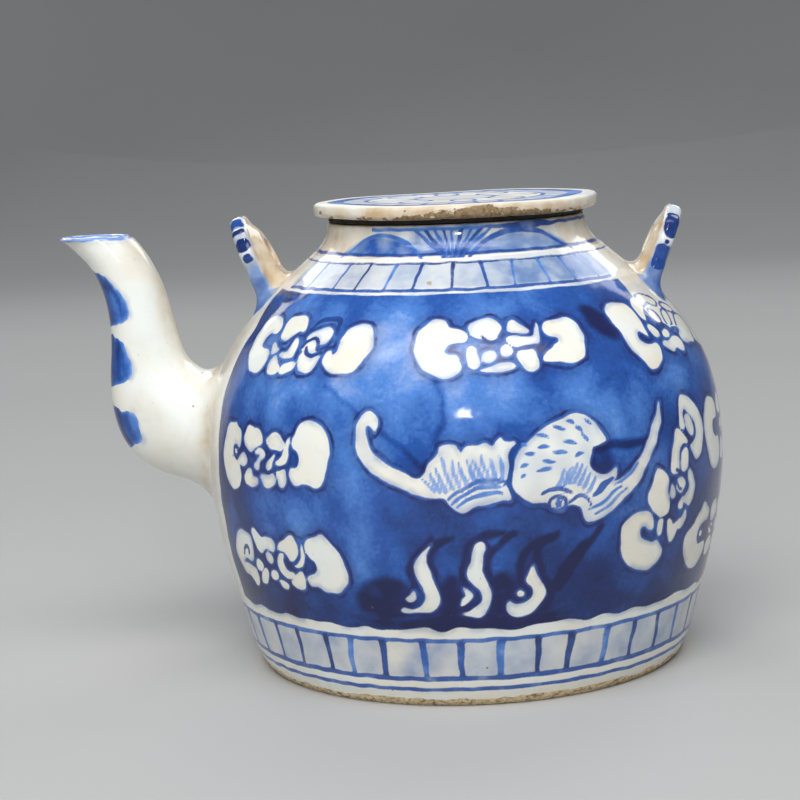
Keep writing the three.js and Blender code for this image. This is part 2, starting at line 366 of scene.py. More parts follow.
class Lines:
    """Brush lines over a piece's points: the distance from them, and how dark they are."""

    def __init__(self, count):
        self.lines = np.full(count, FAR)
        self.depth = np.zeros(count)

    def draw(self, distance, depth, chosen=slice(None)):
        """A line, as dark as depth says, over whatever is there."""
        closer = distance < self.lines[chosen]
        self.lines[chosen] = np.where(closer, distance, self.lines[chosen])
        self.depth[chosen] = np.where(closer, depth, self.depth[chosen])


class Canvas(Lines):
    """The painted wall: distances in millimetres from the edges of all that is drawn on it.

    The back mirrors the front, as the painter repeated one scheme on both sides.
    """

    def __init__(self, points):
        super().__init__(len(points))
        x, y, z = points.T
        self.points = points
        self.turn = np.degrees(np.arctan2(x, np.abs(y)))
        self.round = np.degrees(np.arctan2(x, -y)) % 360
        self.arc = arc_at(z)
        self.radius = np.hypot(x, y)
        self.drift_x = 0.3 * ripple(points, 8, 21) + 0.06 * ripple(points, 3, 22)
        self.drift_y = 0.3 * ripple(points, 8, 23) + 0.06 * ripple(points, 3, 24)
        self.white = np.full(len(points), FAR)  # the edges of what is left white
        self.bat = np.full(len(points), FAR)

    def near(self, turn, arc, half_width, half_height):
        """The points near a motif, and where they are from its middle, in millimetres."""
        x = np.radians(self.turn - turn) * self.radius + self.drift_x
        y = self.arc - arc + self.drift_y
        chosen = np.flatnonzero((np.abs(x) < half_width) & (np.abs(y) < half_height))
        return chosen, x[chosen], y[chosen]

    def leave_white(self, chosen, distance):
        self.white[chosen] = np.minimum(self.white[chosen], distance)


# ---------------- clouds

# A cloud is white lobes, given by their outlines, with blue between them, and small white discs:
# x,y,half width,half height. Curls are dark brush strokes of x,y,half width points. Each cloud
# stands at a turn round the pot in degrees, and a distance up the wall:
# name: (turn, distance up, lobes, discs, curls).
CLOUDS = {
    "upper_left": (-37.9, 110.5, """
    -27.5,0 -26,6 -23,8.6 -18,8.2 -15.6,6.5 -15.8,3.6 -17.5,2.6 -19,3 -21,1 -21.5,-1.5 -19.5,-2.6 -16.5,-3
    -15.4,-4.5 -16.5,-8 -19,-10.3 -23,-10.2 -26.5,-6; -13.6,5.5 -12.5,8 -10,9.5 -7,10.2 -4.6,8.6 -3.3,5.8
    -4,4 -5.6,4.1 -8,2.6 -9.6,1 -12,1.2 -13.4,3; -5.5,1.8 -4.4,0.6 -3.4,-1.8 -4,-4.2 -6.4,-4.6 -9.8,-4.4
    -9.8,-3.4 -6.8,-2.8 -6.4,-0.6; -15.6,-0.4 -14.2,0 -12.6,-1.6 -11.4,-2.4 -12.4,-3.4 -14.2,-3.8; -14,-7.4
    -13,-5.2 -11.6,-4.4 -10.4,-5.8 -8.2,-7.2 -8.2,-9 -10.5,-10.4 -13,-10; -7.4,-7 -5.5,-6.4 -3,-5.6
    -1.9,-6.6 -2.8,-8.8 -5.4,-9.8 -7.2,-9; -1.2,1.8 -0.6,4.2 2,5.2 5,6.8 7.4,4.6 7.4,1.6 6,0.6 4.4,0.6
    3.9,1.6 2.5,2.7 0.6,2.4; -1.2,-4.4 -0.6,-7 1.4,-8.6 4.4,-8.6 6.6,-6 6.8,-3.6 5.6,-3 3.4,-4.2 1.2,-4
    0,-2.6; 8.2,-2.6 9,-6 11.5,-7.6 16,-8.4 19.5,-8 21.6,-4.5 22.4,0 21,4.4 18.5,7.3 15.6,8 12.6,6 11.4,3
    12.2,0.4 11.8,-2 10.6,-2.8 9.6,-1.4
    """, "1.6,-0.6,3,2.4", """
    -1.4,-1,0.5 -0.6,1,0.6 1.8,2.2,0.6 4,1,0.6 4.4,-1,0.6; 0.2,-1,0.4 1.2,-3,0.6 3.2,-3.6,0.6 5.2,-2.4,0.4;
    -1.2,5.6,0.4 1,8.4,0.7 5,9.6,0.8 8.2,8,0.7 9,4,0.6
    """),
    "upper_middle": (11.5, 109, """
    -24,-0.5 -23,4.5 -20.6,8 -17,10.6 -14,10 -13,7.6 -10,6 -8.8,4.4 -9.6,2.6 -12,2.4 -14.4,1.8 -16.2,0.2
    -15,-1.2 -12.6,-1.4 -12.2,-3.6 -11.4,-6 -13.6,-7.6 -17,-8.8 -20,-7.6 -23,-5; -8,5.6 -7.4,8 -5,9.8
    -2.4,10.6 0,9.4 1.2,7 0.6,4.6 -1,3 -3.6,3.4 -6.4,3.8; 2.8,5.8 3.4,8.4 5,9.4 6.6,8 8.4,6.8 9.6,5.4
    9.2,4.6 6,4.6 3.6,4.8; 2.4,2.4 4.4,3.4 7,3.2 9.6,2.8 11,3.6 11.9,7.6 12.4,4 11.6,0.6 9,0.6 6,0.4
    3.4,0.8; -9.6,-2 -8.6,0.6 -7,0.4 -6.6,-1.6 -6,-4.4 -7.4,-6.4 -9.4,-5.6; 0.2,-0.6 1.6,0.6 3.2,-0.2
    3.4,-1.6 2,-2.8 0.4,-2.4; -6,-6.6 -3,-5.6 -0.6,-4.8 2.6,-4.8 4,-6.2 2,-7.2 -2,-7.4 -5,-7.2; 4.8,-2.8
    5.2,-1.2 7.4,-0.9 10.2,-1.4 10.6,-4.4 9.6,-7 7.4,-7.6 5.8,-6; 12.2,-4.8 13.4,-2.6 15,-1.8 16,-0.4 17.4,1
    17,2.4 14.6,3.2 13.8,5.4 15.2,7.4 18.6,8.4 21.4,8.8 24,6.4 25.6,2.6 26.4,-1.6 25,-5 21.8,-6.6 17.6,-5.8
    14.6,-5.6
    """, "-3.3,-2.4,2.2,1.8", "-4.6,4.2,0.4 -2.6,2,0.6 -0.6,2.4,0.5; 5.2,-0.4,0.4 7.4,0.1,0.5 10,-0.4,0.4"),
    "upper_right": (57, 108, """
    -14.8,3 -14.6,9.5 -12.5,11.8 -9.4,12.6 -5,12 -3.4,10.4 -3.2,6 -3.6,2 -4.4,-0.4 -5.5,0.6 -7,1.6 -8.6,0.4
    -8.8,-1.4 -7,-2.8 -5,-3.4 -2.8,-3.4 -1.6,-5 -2.4,-7.5 -5,-9.4 -8.2,-10.6 -10.6,-10.4 -12.6,-7 -14.6,-2;
    -1.4,6.5 -1.2,10.5 0.5,12.8 4,13.6 9,13.6 13,12.4 15,10.6 13,9 10.4,9 8.5,10 6,10.2 3,9 1.2,6 0,4.8;
    -1.8,2 -0.2,3.2 1.2,1.6 1.6,0 0.4,-1.6 -1.6,-1.4; 0.6,-4.4 2,-3.4 4.6,-3.8 6.6,-3.2 9,-2.4 12,-3 13.4,-5
    12.6,-7.2 10.5,-7.4 8,-6 5.6,-7 2.6,-5.6; 10.8,4 13,6.4 15.4,6.6 16.4,4.6 14.4,1.8 11.6,0.8 10.6,2.2;
    15.6,8.6 19,8.8 23,7.6 24.6,5.4 22,4.4 18.6,5 16.8,6.8; 17,0.6 21,3 26,3.6 29.6,1 29.4,-3.4 26,-6.4
    20,-6 15.4,-5.2 14.8,-3 16.6,-1.4
    """, "6.2,5.4,2.4,2.9 5.6,-0.8,2.5,1.5", "8,2.4,0.4 5.6,1.6,1 3.4,1,1.1 2.6,-1.4,0.5"),
    "middle_left": (-40, 77, """
    -30,-3 -29,3 -26.5,7 -22.5,7.4 -20.5,6 -18.6,5.2 -18.2,2.6 -19,1 -21,1.6 -23,0.4 -23.2,-2 -21.4,-3.4
    -19.6,-4 -18.4,-6 -18.8,-9.6 -21,-12.2 -25,-11.8 -28.6,-8.5; -16.2,4.6 -15,6.9 -12,7 -9.4,7 -7.4,5.2
    -7,2.8 -8.6,1.8 -10.6,1.2 -12.5,-0.2 -14.6,0.6 -16,2.4; -5.2,3.2 -3.6,5.2 -0.8,6.4 1.8,5.2 3,3.4 2,1.8
    -0.6,1.6 -3,1.8; -19.4,-3.4 -17.4,-1.2 -15.6,-1.4 -14.2,-3.2 -15,-4.4 -17,-5; -10.2,0.2 -8,0.9 -5.6,0
    -5.4,-1.4 -7.2,-3 -7.4,-4.6 -8.8,-5.6 -10.2,-3.8 -9,-2.4 -7.4,-1.2 -8.8,-0.6; -4.2,-4.6 -3.2,-2
    -1.8,-0.4 -1,-0.2 -1.6,-2.4 -2.4,-4.4; -0.4,-2.4 1.2,-1 3.2,2.6 4.8,5.4 5.2,4 4,-0.4 3.4,-2.2 1,-3;
    -16.2,-8 -14.4,-5.8 -12.2,-5 -11.4,-7.2 -9,-8.4 -9.6,-10 -12,-10.6 -15,-10; -7.6,-7.4 -6,-6.4 -3.6,-6.2
    -1.6,-5.8 -1,-8 -3,-9.6 -6.2,-9.4; 0.2,-4.2 3.4,-4.2 3.8,-6.6 2.6,-8.8 0.8,-8.4 0,-6.2; 5.6,-3.6 5.4,-6
    7,-8 9.6,-7.6 12.4,-8 15.4,-8.4 17.4,-6.4 18.9,-1 19,5 16.6,8.6 13,10.6 9.4,9.8 7.2,7.4 6.2,4.4 6.6,2.4
    8.2,1.6 8.8,-0.6 7.8,-2.6
    """, "-21.2,-0.8,0.9,0.8", """
    -5,-4.8,0.4 -3.4,-5.4,0.5 0,-4.2,0.4 4.6,-3,0.4; 6.2,0.8,0.4 7.6,0.2,0.5 7.4,-1.8,0.5 6,-1.8,0.4
    """),
    "lower_left": (-38.5, 45, """
    -30.5,-2 -29,4 -25.5,6.4 -21,6.6 -18.8,5.4 -18.2,2.4 -18.8,-1.2 -20.6,-2.8 -23,-2.6 -25,-3 -26,-4
    -22,-4.4 -19.4,-4.6 -18.6,-6.8 -19,-9.6 -20.6,-10.2 -23.4,-8 -27.4,-7.2; -17.4,6.6 -16.4,8 -14.6,7.4
    -12.4,6.2 -9.6,6.6 -7.4,6.4 -6.6,4.2 -7.4,2.8 -9,3 -11.4,2.6 -13,1.4 -14.6,1.6 -16,3.4; -18,-3
    -16.8,-1.4 -15,-2 -14.4,-3.6 -16,-4.8 -17.8,-4.4; -16.6,-8.6 -15.8,-5.6 -13.6,-4 -12.2,-4.4 -12.6,-7
    -14.2,-8.8; -10.8,-5.6 -10,-3.8 -8.4,-3.6 -7.6,-5 -8.4,-6.4 -10.2,-6.6; -7.6,-6.9 -6,-6.9 -3.6,-7.6
    -4,-9.2 -6,-8.8; -5.2,3.4 -4.8,5 -2.6,6.4 0.4,8 2.6,8.2 3.4,5.8 2.8,3 1.2,1 -0.4,0.6 -1,1.8 -2,2.6
    -3.4,2.8; -5.6,0 -4.4,1.8 -2.8,1.4 -3.4,-0.2 -3,-2.4 -0.6,-3.2 0.2,-4.2 -2,-5 -4.6,-5.4 -6,-4 -6.2,-2;
    1,-1.2 2.4,-0.6 3.6,1.4 4.6,4.8 5.2,6.8 5.1,3 4.4,-0.4 2.6,-1.6; -2,-6.6 -1,-5 1.4,-3.8 3.4,-2.6
    4.2,-3.6 3.6,-6.4 2.4,-8.2 0,-8.4; 5.2,-4.4 6.4,-3.4 8.4,-3 9.6,-0.8 9,1.6 7.2,2.4 6.2,4.2 7,6.6 9.6,8.2
    12.6,9.6 14.6,8.8 17.4,5.6 19.4,1 20,-2.6 18.6,-5.6 15.6,-7.8 12,-8.2 9.4,-6.8 6,-6.6
    """, "-9.8,0.2,1.9,1.7", "-24.6,-1.2,0.5 -24,0.8,0.6 -22.4,1.8,0.7 -21.2,0.8,0.6 -21.4,-0.8,0.4"),
    "slanting": (49.5, 66, """
    -19.3,-16 -18.6,-12 -16,-9.6 -12.5,-8.8 -9,-10 -7.6,-12.6 -7,-15 -8.6,-15 -10.2,-13.8 -12,-14.4 -12,-17
    -9.8,-18.4 -6.6,-19.2 -4.8,-18.6 -3.4,-20 -2,-22.8 -3,-25.4 -6.4,-27.2 -11.5,-26.8 -15.6,-24.4
    -18.4,-20.6; -9.6,-5.6 -8,-1.6 -6.2,2 -4.6,2.4 -1.8,0.4 -0.8,-1.8 -1,-5 -0.2,-8.6 -1.4,-11.2 -4.6,-11.6
    -7.8,-9; -4.8,-13 -2.8,-13 -2.6,-16.4 -3.8,-17.4 -5,-15.6; -0.6,-13.6 1,-13.8 2.4,-15.4 4.6,-15
    4.4,-17.6 2.8,-20.4 1.4,-20.4 0.4,-17.6; 5,-14.6 7,-14 8.6,-11.6 9.2,-14.6 7,-17 5,-16.6; 0.4,1.6
    1.8,6.4 3.6,11.4 5.6,12.8 8,11 9.8,8.6 9.2,7.8 7,8.2 5,6.4 4.6,2.2 4.4,0.4 2,0.2; 5.8,2.4 6.2,5.4 8,6.6
    9.4,5.6 9.8,1.4 7.6,0.2 6,0.4; 9.6,-0.4 10.8,0.2 12.6,-3.4 13.8,-6 12.4,-9.4 10.6,-10.8 8.6,-9.4
    5.6,-7.6 8,-7 9.6,-5.4 9,-2.6; 0.6,-3 1.6,-3.8 2.2,-6.4 1.6,-7.4 0.2,-6.4; 4.6,-8.6 6,-8.4 6.8,-10.4
    5.2,-11 4.2,-10; 6.6,14 8,18.6 9.4,21.8 12.4,21.6 16.4,19 19.6,15.4 20.8,11.6 20,6.6 17,3.8 14.6,2.4
    12.6,4.6 11.2,6.6 13.4,7.4 15.6,9.2 15.6,12 13.6,15 10.6,17.6 9.6,17.6 9,16 9.4,13.6 8.4,12.6; 10,15.6
    11.4,15.8 13,14 14,11.4 13.4,9.6 12,10 10.4,12.4
    """, "5.2,-3.6,2.2,2.4", """
    3.2,1,0.4 6.4,-0.6,0.6 8.4,-4,0.7 7.4,-6.4,0.5; 3.4,-2.2,0.4 4.2,-4.2,0.5 6,-5,0.4
    """),
    "rear_upper": (66.5, 60, """
    -1.6,13 -1,19 1.6,23 6,24.6 10.4,23.6 12.5,21 11.5,18 8,17.4 6,16 5.6,14 8,12.4 11.5,11.4 13,8.4
    11.6,4.6 7.4,2.8 3.4,3.6 0.8,7.6; 14.4,21 17,24 21,23.6 22.6,20 19.6,17.8 15.6,18.4; 15,8 14.6,4.8
    18,3.4 20.6,5.4 19.4,9.6 16.6,10.8; 22,8 23,4.6 27,4 29.4,7 26.4,10.6 23,10.6
    """, "18.6,14,3.2,1.9 26,15,2.8,3.4", "11,15,0.4 14.4,13.2,0.7 17,13,0.5 18.6,14.4,0.4"),
    "rear_lower": (66.5, 60, """
    -13.4,-17 -12.8,-14.6 -9.4,-12 -5,-8.6 -2,-6.6 0.6,-7.6 3,-10 2.6,-13 -0.6,-12.4 -4,-14 -5.4,-16.6
    -3.6,-19 0.4,-19.4 3,-20.6 2.4,-24.6 -2,-26.6 -7.4,-26.2 -11.6,-22; 5,-10 8,-8 12.4,-8.8 14,-12 11,-14
    6.4,-13.2; 5,-21 6.4,-24.6 10.8,-25 12.6,-21.4 9.4,-19.4; 16,-10.6 19.6,-8.6 23,-10.6 22.4,-13.6 18,-14;
    14.6,-22 17,-25 21,-23.6 21.6,-20.4 17.4,-19; 24,-15 27,-10 31,-12 32,-18 29,-24 25,-23 24.6,-19
    26.4,-17
    """, "-2.4,-16,1.1,0.9 8.4,-16.6,2.6,1.8 16.6,-16.6,2.4,2", """
    4,-16,0.4 7.6,-15.6,0.6 10.6,-17.4,0.6 12.4,-16,0.4
    """),
}
CLOUD_REACH = (38, 31)  # half the width and the height of the space that a cloud may fill


def draw_cloud(canvas, turn, arc, lobes, discs, curls):
    chosen, x, y = canvas.near(turn, arc, *CLOUD_REACH)
    for outline in paths(lobes):
        canvas.leave_white(chosen, outline_shape(x, y, outline) - 0.1)
    for disc in paths(discs)[0]:
        canvas.leave_white(chosen, ellipse(x, y, *disc))
    for curl in paths(curls):
        canvas.draw(stroke(x, y, curl), 0.8, chosen)


# ---------------- the bat

BAT_AT = (9.5, 76)
BAT_REACH = (62, 28)
BAT_EYE = (16.5, -12.9, 1.0, 0.9)
BAT_EYELID = (16.2, -12.9, 2.8, 1.9)
# Outlines of the left wing, and of the right wing with the head.
BAT_WINGS = """
    -35.4,9.4 -34.2,11.6 -34.6,14 -36.6,15 -38.8,13.4 -41,10.4 -41.4,6.6 -40,2 -37.4,-1.8 -33.6,-4.2
    -28,-6.6 -22,-9 -16.4,-9.6 -14.6,-11.4 -12,-13.4 -9.6,-13.4 -7,-12.2 -3,-11 0,-10.6 2.4,-10.8 2.2,-8
    1.4,-6 1.5,-3 2,0 3,3 4.8,5.2 3,5.4 1.4,6 0.2,7.4 -0.8,6 -1.6,4.6 -4,5.2 -6.6,4.8 -9,5.4 -10.4,4
    -11.4,2.4 -12,4.8 -13.8,5.4 -16.6,5 -18,2 -20.4,-0.4 -22,-3 -24,-3.8 -27,-2.4 -30.6,-0.4 -34,1.6
    -36.8,4.8 -38.4,8 -38,10.6 -36.8,11 -35.8,10; 5.8,3.4 8,5 10.4,7.2 14,9 18,10.6 22,12 25.6,11 28.6,9
    30.4,6.4 31.6,3.2 29,2.4 27.2,2 26.2,-1 26.6,-3.6 28.4,-5.6 31,-6.4 33.6,-5.2 35.4,-4.6 34.6,-7
    33.6,-8.4 35,-8.6 38.6,-7.4 42,-5 45,-2 47.4,1 49.6,4.6 51.6,8 53.6,11.4 53.6,7 52,3 49.6,-1 46.6,-5.4
    42,-11 36,-15 30,-18.4 24.6,-18.8 22.8,-14.8 19.4,-13.6 17,-15 14.4,-14.2 12.4,-12.6 8,-12.2 5.2,-10.4
    3.6,-7.4 3.2,-4 3.8,0
"""
# Short strokes on the right wing: from x,y to x,y.
BAT_DASHES = """
    6.4,4.4,7.8,4.6 10.4,7,14,5.7 15.6,8.9,19.2,7.5 19.6,10.2,21.8,9 18.4,4.5,22.6,3.2 24.6,5.2,26.6,3.7
    22.2,8,24.8,6 25.2,9.8,27.6,8.2 6.4,1.9,9.8,1.5 10.8,3.2,13.8,3.3 15.2,1.9,19.4,1.2 12,-0.5,16.2,-1
    5.4,-1.4,7.6,-1.1 10.6,-3.1,15,-2.5 5.8,-4.4,7.4,-4 21.8,-0.2,24.4,0.8
"""
# Ribs of both wings, drawn the same way.
BAT_RIBS = """
    -19,-7.4,-22,-4 -17.4,-7.8,-20.2,-2.2 -15.8,-8,-18.4,-0.8 -14,-6.9,-16.6,1.8 -12,-5.8,-14,1
    -10,-5,-11.8,0.4 -8,-4.8,-9.4,1.6 -6,-4.6,-7.2,1 -4,-4.4,-5,2.2 -2,-4.4,-2.6,1.4 0,-4.6,-0.2,2
    15.6,-8,18.6,-3.6 17.6,-8,20.6,-3 19.4,-7.6,22.4,-2 21.2,-7.6,24,-2.4 22.8,-8.4,25.4,-3.6
    24.2,-9.4,26.6,-5.4 25.6,-10.6,28.4,-6.8
"""
# Longer lines of x,y,half width points, and how dark each is.
BAT_LINES = """
    5.4,4.6,0.4 3,1.4,0.6 2.4,-3,0.6 3,-7.6,0.65 5,-10.9,0.65 8,-12.7,0.6 12,-13,0.6 14.2,-14.4,0.4;
    -15,-10,0.4 -12,-7.4,0.55 -8,-5.8,0.55 -4,-5,0.55 0,-5.2,0.5 1.6,-6.6,0.3; -14,-11.4,0.3 -11,-9,0.5
    -7,-7.2,0.5 -3,-6.6,0.5 0,-6.9,0.3; -12.6,-12.2,0.3 -9.6,-10.4,0.5 -5.6,-8.8,0.5 -2,-8.2,0.5
    0.6,-8.9,0.3; 11,-9.7,0.4 13.6,-8.8,0.55 17,-9,0.55 20.4,-10.3,0.4; 20.2,-12.8,0.4 22.4,-11.6,0.55
    24.6,-12,0.5 26.2,-14.2,0.4; 27,-11.7,0.4 30.4,-9.7,1 33.2,-7.6,0.5; 25.6,-15.8,0.3 31.6,-13.2,0.5
    37,-10.4,0.3; 27.6,-17.2,0.3 33.4,-14.6,0.45 39,-11.2,0.3; 34,-9.8,0.3 39,-7.8,0.45 43.4,-4.4,0.3
"""
BAT_DEPTHS = (0.72, 0.5, 0.4, 0.35, 0.65, 0.6, 0.55, 0.4, 0.35, 0.35)


def draw_short(canvas, near, ends, widths, raised, steps, depth):
    """A short stroke with three half widths along it, and its middle raised a little."""
    chosen, x, y = near
    ax, ay, bx, by = ends
    middle = ((ax + bx) / 2, (ay + by) / 2 + raised)
    line = [(ax, ay, widths[0]), (*middle, widths[1]), (bx, by, widths[2])]
    canvas.draw(stroke(x, y, line, steps), depth, chosen)


def draw_bat(canvas):
    """A bat with spread, curling wings, for good fortune."""
    chosen, x, y = near = canvas.near(*BAT_AT, *BAT_REACH)
    wings = np.minimum.reduce([outline_shape(x, y, wing) for wing in paths(BAT_WINGS)])
    canvas.bat[chosen] = wings
    canvas.leave_white(chosen, wings - 0.1)
    for ends in paths(BAT_RIBS)[0]:
        draw_short(canvas, near, ends, (0.52, 0.5, 0.3), 0, 2, 0.1)
    for ends in paths(BAT_DASHES)[0]:
        draw_short(canvas, near, ends, (0.25, 0.55, 0.25), 0.2, 3, 0.4)
    for line, depth in zip(paths(BAT_LINES), BAT_DEPTHS):
        canvas.draw(stroke(x, y, line), depth, chosen)
    canvas.draw(np.abs(ellipse(x, y, *BAT_EYELID)) - 0.5, 0.7, chosen)
    canvas.draw(ellipse(x, y, *BAT_EYE), 0.5, chosen)


# ---------------- the flames

FLAMES_AT = (3.5, 42)
FLAMES_REACH = (46, 24)
FLAMES = """
    -12.2,10.8 -13,8 -13.2,5 -12.6,2 -11.2,-1 -10,-4 -10.6,-7.4 -12.4,-9.4 -15,-10 -18.4,-9.6 -21.6,-9.2
    -20.8,-7.8 -18,-8.8 -15.4,-7.8 -14.2,-5.4 -14.8,-2.6 -16.2,-0.2 -17,2.6 -16.6,5.6 -14.6,8.6; 2.2,11.4
    3,9.6 2.4,6 2.4,2.6 3.6,-1 4.6,-4 3.8,-7.4 2.8,-10.6 0.4,-11.8 -4.4,-10.8 -2,-10 0,-8.6 1.6,-6.4 1,-3.4
    -0.8,-0.6 -2,2 -1.6,5 -0.6,8.4 0.8,10.8; 16.6,3.6 17.6,1.4 18.8,-1.6 20,-5 19,-8.2 16.4,-11 13,-12.2
    9.8,-11.6 8.5,-9.6 9.6,-7.4 11.4,-8.4 14,-8 16.2,-6 16.2,-3.4 14.7,-1 15.4,1.2; -17.6,-2.8 -16.9,-5.6
    -18.6,-6.4 -20,-5.6 -18.8,-4.4; -3.4,-1.8 -1.6,-3.6 -1.2,-5.4 -2.6,-7.4 -4.4,-8 -3.8,-6.2 -2.8,-5
    -3.4,-3; 12.8,-3.8 13.8,-4.8 13.4,-6 12.2,-6 11.9,-4.8
"""
# Dark strokes that wrap each tongue and trail off to the right, and darker pools under them.
FLAME_SMOKE = """
    -5.4,13.2,0.3 -9,12,0.8 -11.6,9.4,0.8 -12.4,5,0.6 -11.4,1.4,0.6 -9.6,-2.6,0.9; -12.6,12.2,0.5
    -15.8,8,0.9 -18,3.4,1.1 -17.4,-1,1.2; 11.6,13.2,0.6 7.4,11,0.8 4.6,8.6,0.8 3.8,4,0.6 4.6,0,0.6 6,-4,0.9;
    9,13.6,0.3 3,13.4,0.9 -1.2,9.8,0.9 -3,4,1.1 -2.8,-0.6,0.8; 23.6,12.2,0.7 20.4,10.4,0.8 18.2,8,0.7
    17.8,5,0.6 19.4,0.6,0.7 21.4,-4.6,0.9 20,-9.8,0.9; 22,12,0.3 17,10,0.8 14,7,0.8 12.8,3,1 13.2,-1.6,0.7;
    24,-3,1.8 26.4,0.6,1.9 30,5,1.4 34,9,0.9 38,13,0.6
"""
FLAME_BLOTS = ((-26, -6, 8, 6.5), (-7.4, -6, 3.2, 7), (7.6, -5, 3.4, 6.6), (-4, -13.6, 26, 1.9))


def draw_flames(canvas):
    """Three tongues of flame. Gives the points near them and how dark the smoke is there."""
    chosen, x, y = canvas.near(*FLAMES_AT, *FLAMES_REACH)
    for outline in paths(FLAMES):
        canvas.leave_white(chosen, outline_shape(x, y, outline))
    smoke = np.zeros(len(x))
    for line in paths(FLAME_SMOKE):
        smoke = np.maximum(smoke, 0.8 * rise(-stroke(x, y, line), -0.9, 0.5))
    for blot in FLAME_BLOTS:
        smoke = np.maximum(smoke, rise(-ellipse(x, y, *blot), -2.4, 2))
    return chosen, smoke


# ---------------- borders and ground

# Lines turned round the pot: (distance up the wall, half width, depth).
BANDS = ((6.4, 0.62, 0.55), (10.15, 0.75, 0.6), (22.8, 0.6, 0.5), (130.7, 0.55, 0.62),
         (141.6, 0.36, 0.75))
# Borders of short strokes, at the foot and at the shoulder: how many strokes, where they begin
# and end up the wall, their half width, its taper, their lean, and the seed.
STROKE_BORDERS = ((42, 10.2, 22.8, 0.82, 0.45, 0.7, 31), (34, 130.8, 141.8, 0.36, 0.5, 0.9, 32))
GROUND_LOW = 26.6
GROUND_HIGH = 129.0
GROUND_START_TURN = -65.5  # where the blue ground begins behind the spout
OPEN_TURN = 60  # where glaze is left open in the ground, under the rear lug
SPOT_TURN, SPOT_ARC = 353.5, 133.5  # a spot of iron on the shoulder
# A shadow by the bat's right wing, and two hairlines in the glaze, drawn from the bat's middle.
BAT_SHADOW = "27,1.6,0.4 34,1.8,0.9 42,1.4,0.8 50,1,0.6"
HAIRLINES = "-50,22,0.3 -34,9.6,0.3 -25,2.6,0.3 -19,-4,0.3; -17,26,0.3 -15,16,0.3 -18,6,0.3"


def draw_stroke_border(canvas, count, low, high, half_width, taper, slant, seed):
    """Brush strokes up a border all the way round, no two quite alike."""
    draw = np.random.default_rng(seed)
    step = 360 / count
    shift = draw.normal(0, 0.07 * step, count)
    lean = draw.normal(0, slant, count)
    width = half_width * draw.uniform(0.75, 1.25, count)
    depth = draw.uniform(0.28, 0.8, count)
    nearest = np.rint(canvas.round / step).astype(int)
    k = nearest % count
    off = (canvas.round - nearest * step - shift[k]) * math.pi / 180 * canvas.radius
    up = (canvas.arc - low) / (high - low)
    off += lean[k] * (up - 0.5) + 0.5 * canvas.drift_x
    half = width[k] * (1 + taper * (up - 0.5))
    beyond = np.abs(canvas.arc - (low + high) / 2) - (high - low) / 2
    ends = 0.25 * bump(up, 0, 0.12) + 0.2 * bump(up, 1, 0.15)
    canvas.draw(np.maximum(np.abs(off) - half, beyond), np.clip(depth[k] + ends, 0, 1))


def draw_borders(canvas):
    for arc, half, depth in BANDS:
        away = np.abs(canvas.arc - arc + 0.45 * canvas.drift_y)
        canvas.draw(away - half * (1 + 0.25 * canvas.drift_x), depth)
    for border in STROKE_BORDERS:
        draw_stroke_border(canvas, *border)


def ground_edges(canvas, waver):
    """Distances from the edges of the blue panel, and of the glaze left open in it."""
    arc, turn = canvas.arc, canvas.turn
    start = GROUND_START_TURN - 7 * rise(arc, 112, 126)
    panel = np.maximum.reduce([
        GROUND_LOW - arc + waver + 0.5 * canvas.drift_y,
        arc - GROUND_HIGH + 0.6 * canvas.drift_x,
        -(np.radians(turn - start) * canvas.radius + waver),
    ])
    open_glaze = np.maximum.reduce([
        OPEN_TURN - turn + waver,
        112.5 - 0.55 * (turn - OPEN_TURN) - arc + waver,
        arc - 131,
    ])
    return panel, open_glaze


def wall_wash(canvas, in_foot, by_lugs):
    """Thin blue in the borders, round the shoulder and on the bat's wings."""
    points, arc, turn = canvas.points, canvas.arc, canvas.turn
    in_shoulder = between(arc, 131.2, 132, 141, 142)
    wash = 0.52 * in_foot * (1 + 0.3 * ripple(points, 15, 51))
    wash += 0.2 * rise(arc, 127, 130) * (1 - in_shoulder) * (0.6 + rise(turn, 0, 30))
    wash += 0.6 * in_shoulder * (1 + 0.25 * ripple(points, 19, 52) + 1.1 * rise(turn, 0, 34))
    wash *= 1 - by_lugs
    return wash + np.where(canvas.bat < 0.3, 0.2 + 0.14 * ripple(points, 9, 53), 0)


def wall_tone(canvas, flame_points, smoke):
    """How light the blue ground is: palest in front at the upper left, partly a painted sheen, and dark in
    its pools.
    """
    points, arc, turn = canvas.points, canvas.arc, canvas.turn
    tone = 0.46 + 0.1 * ripple(points, 42, 54) + 0.08 * ripple(points, 15, 55)
    # Paler across the upper front: lighter cobalt, with a painted sheen of the light over it.
    tone += 0.46 * bump(turn, -20, 34) * bump(arc, 104, 30)
    tone += 0.14 * bump(turn, 30, 22) * bump(arc, 88, 18)
    tone -= 0.2 * (1 - rise(arc, 30, 56))
    tone -= 0.28 * (1 - rise(turn, -64, -47))
    tone += 0.16 * rise(turn, 48, 66) * (rise(arc, 70, 90) - 0.7)
    chosen, x, y = canvas.near(*CLOUDS["upper_right"][:2], 60, 40)
    tone[chosen] -= 0.5 * rise(-ellipse(x, y, -19.6, 6.6, 3, 6, 16), -2.4, 1)
    tone[flame_points] -= 0.58 * smoke * (1 + 0.25 * ripple(points[flame_points], 6, 57))
    chosen, x, y = canvas.near(*BAT_AT, 70, 26)
    tone[chosen] -= 0.5 * rise(-stroke(x, y, *paths(BAT_SHADOW)), -1.2, 0.5)
    tone[chosen] -= 0.3 * rise(-ellipse(x, y, 30, -2.4, 4, 4), -2, 1.5)
    hairlines = np.minimum(*(stroke(x, y, line) for line in paths(HAIRLINES)))
    tone[chosen] -= 0.22 * rise(-hairlines, -1.3, 0.4)
    return tone


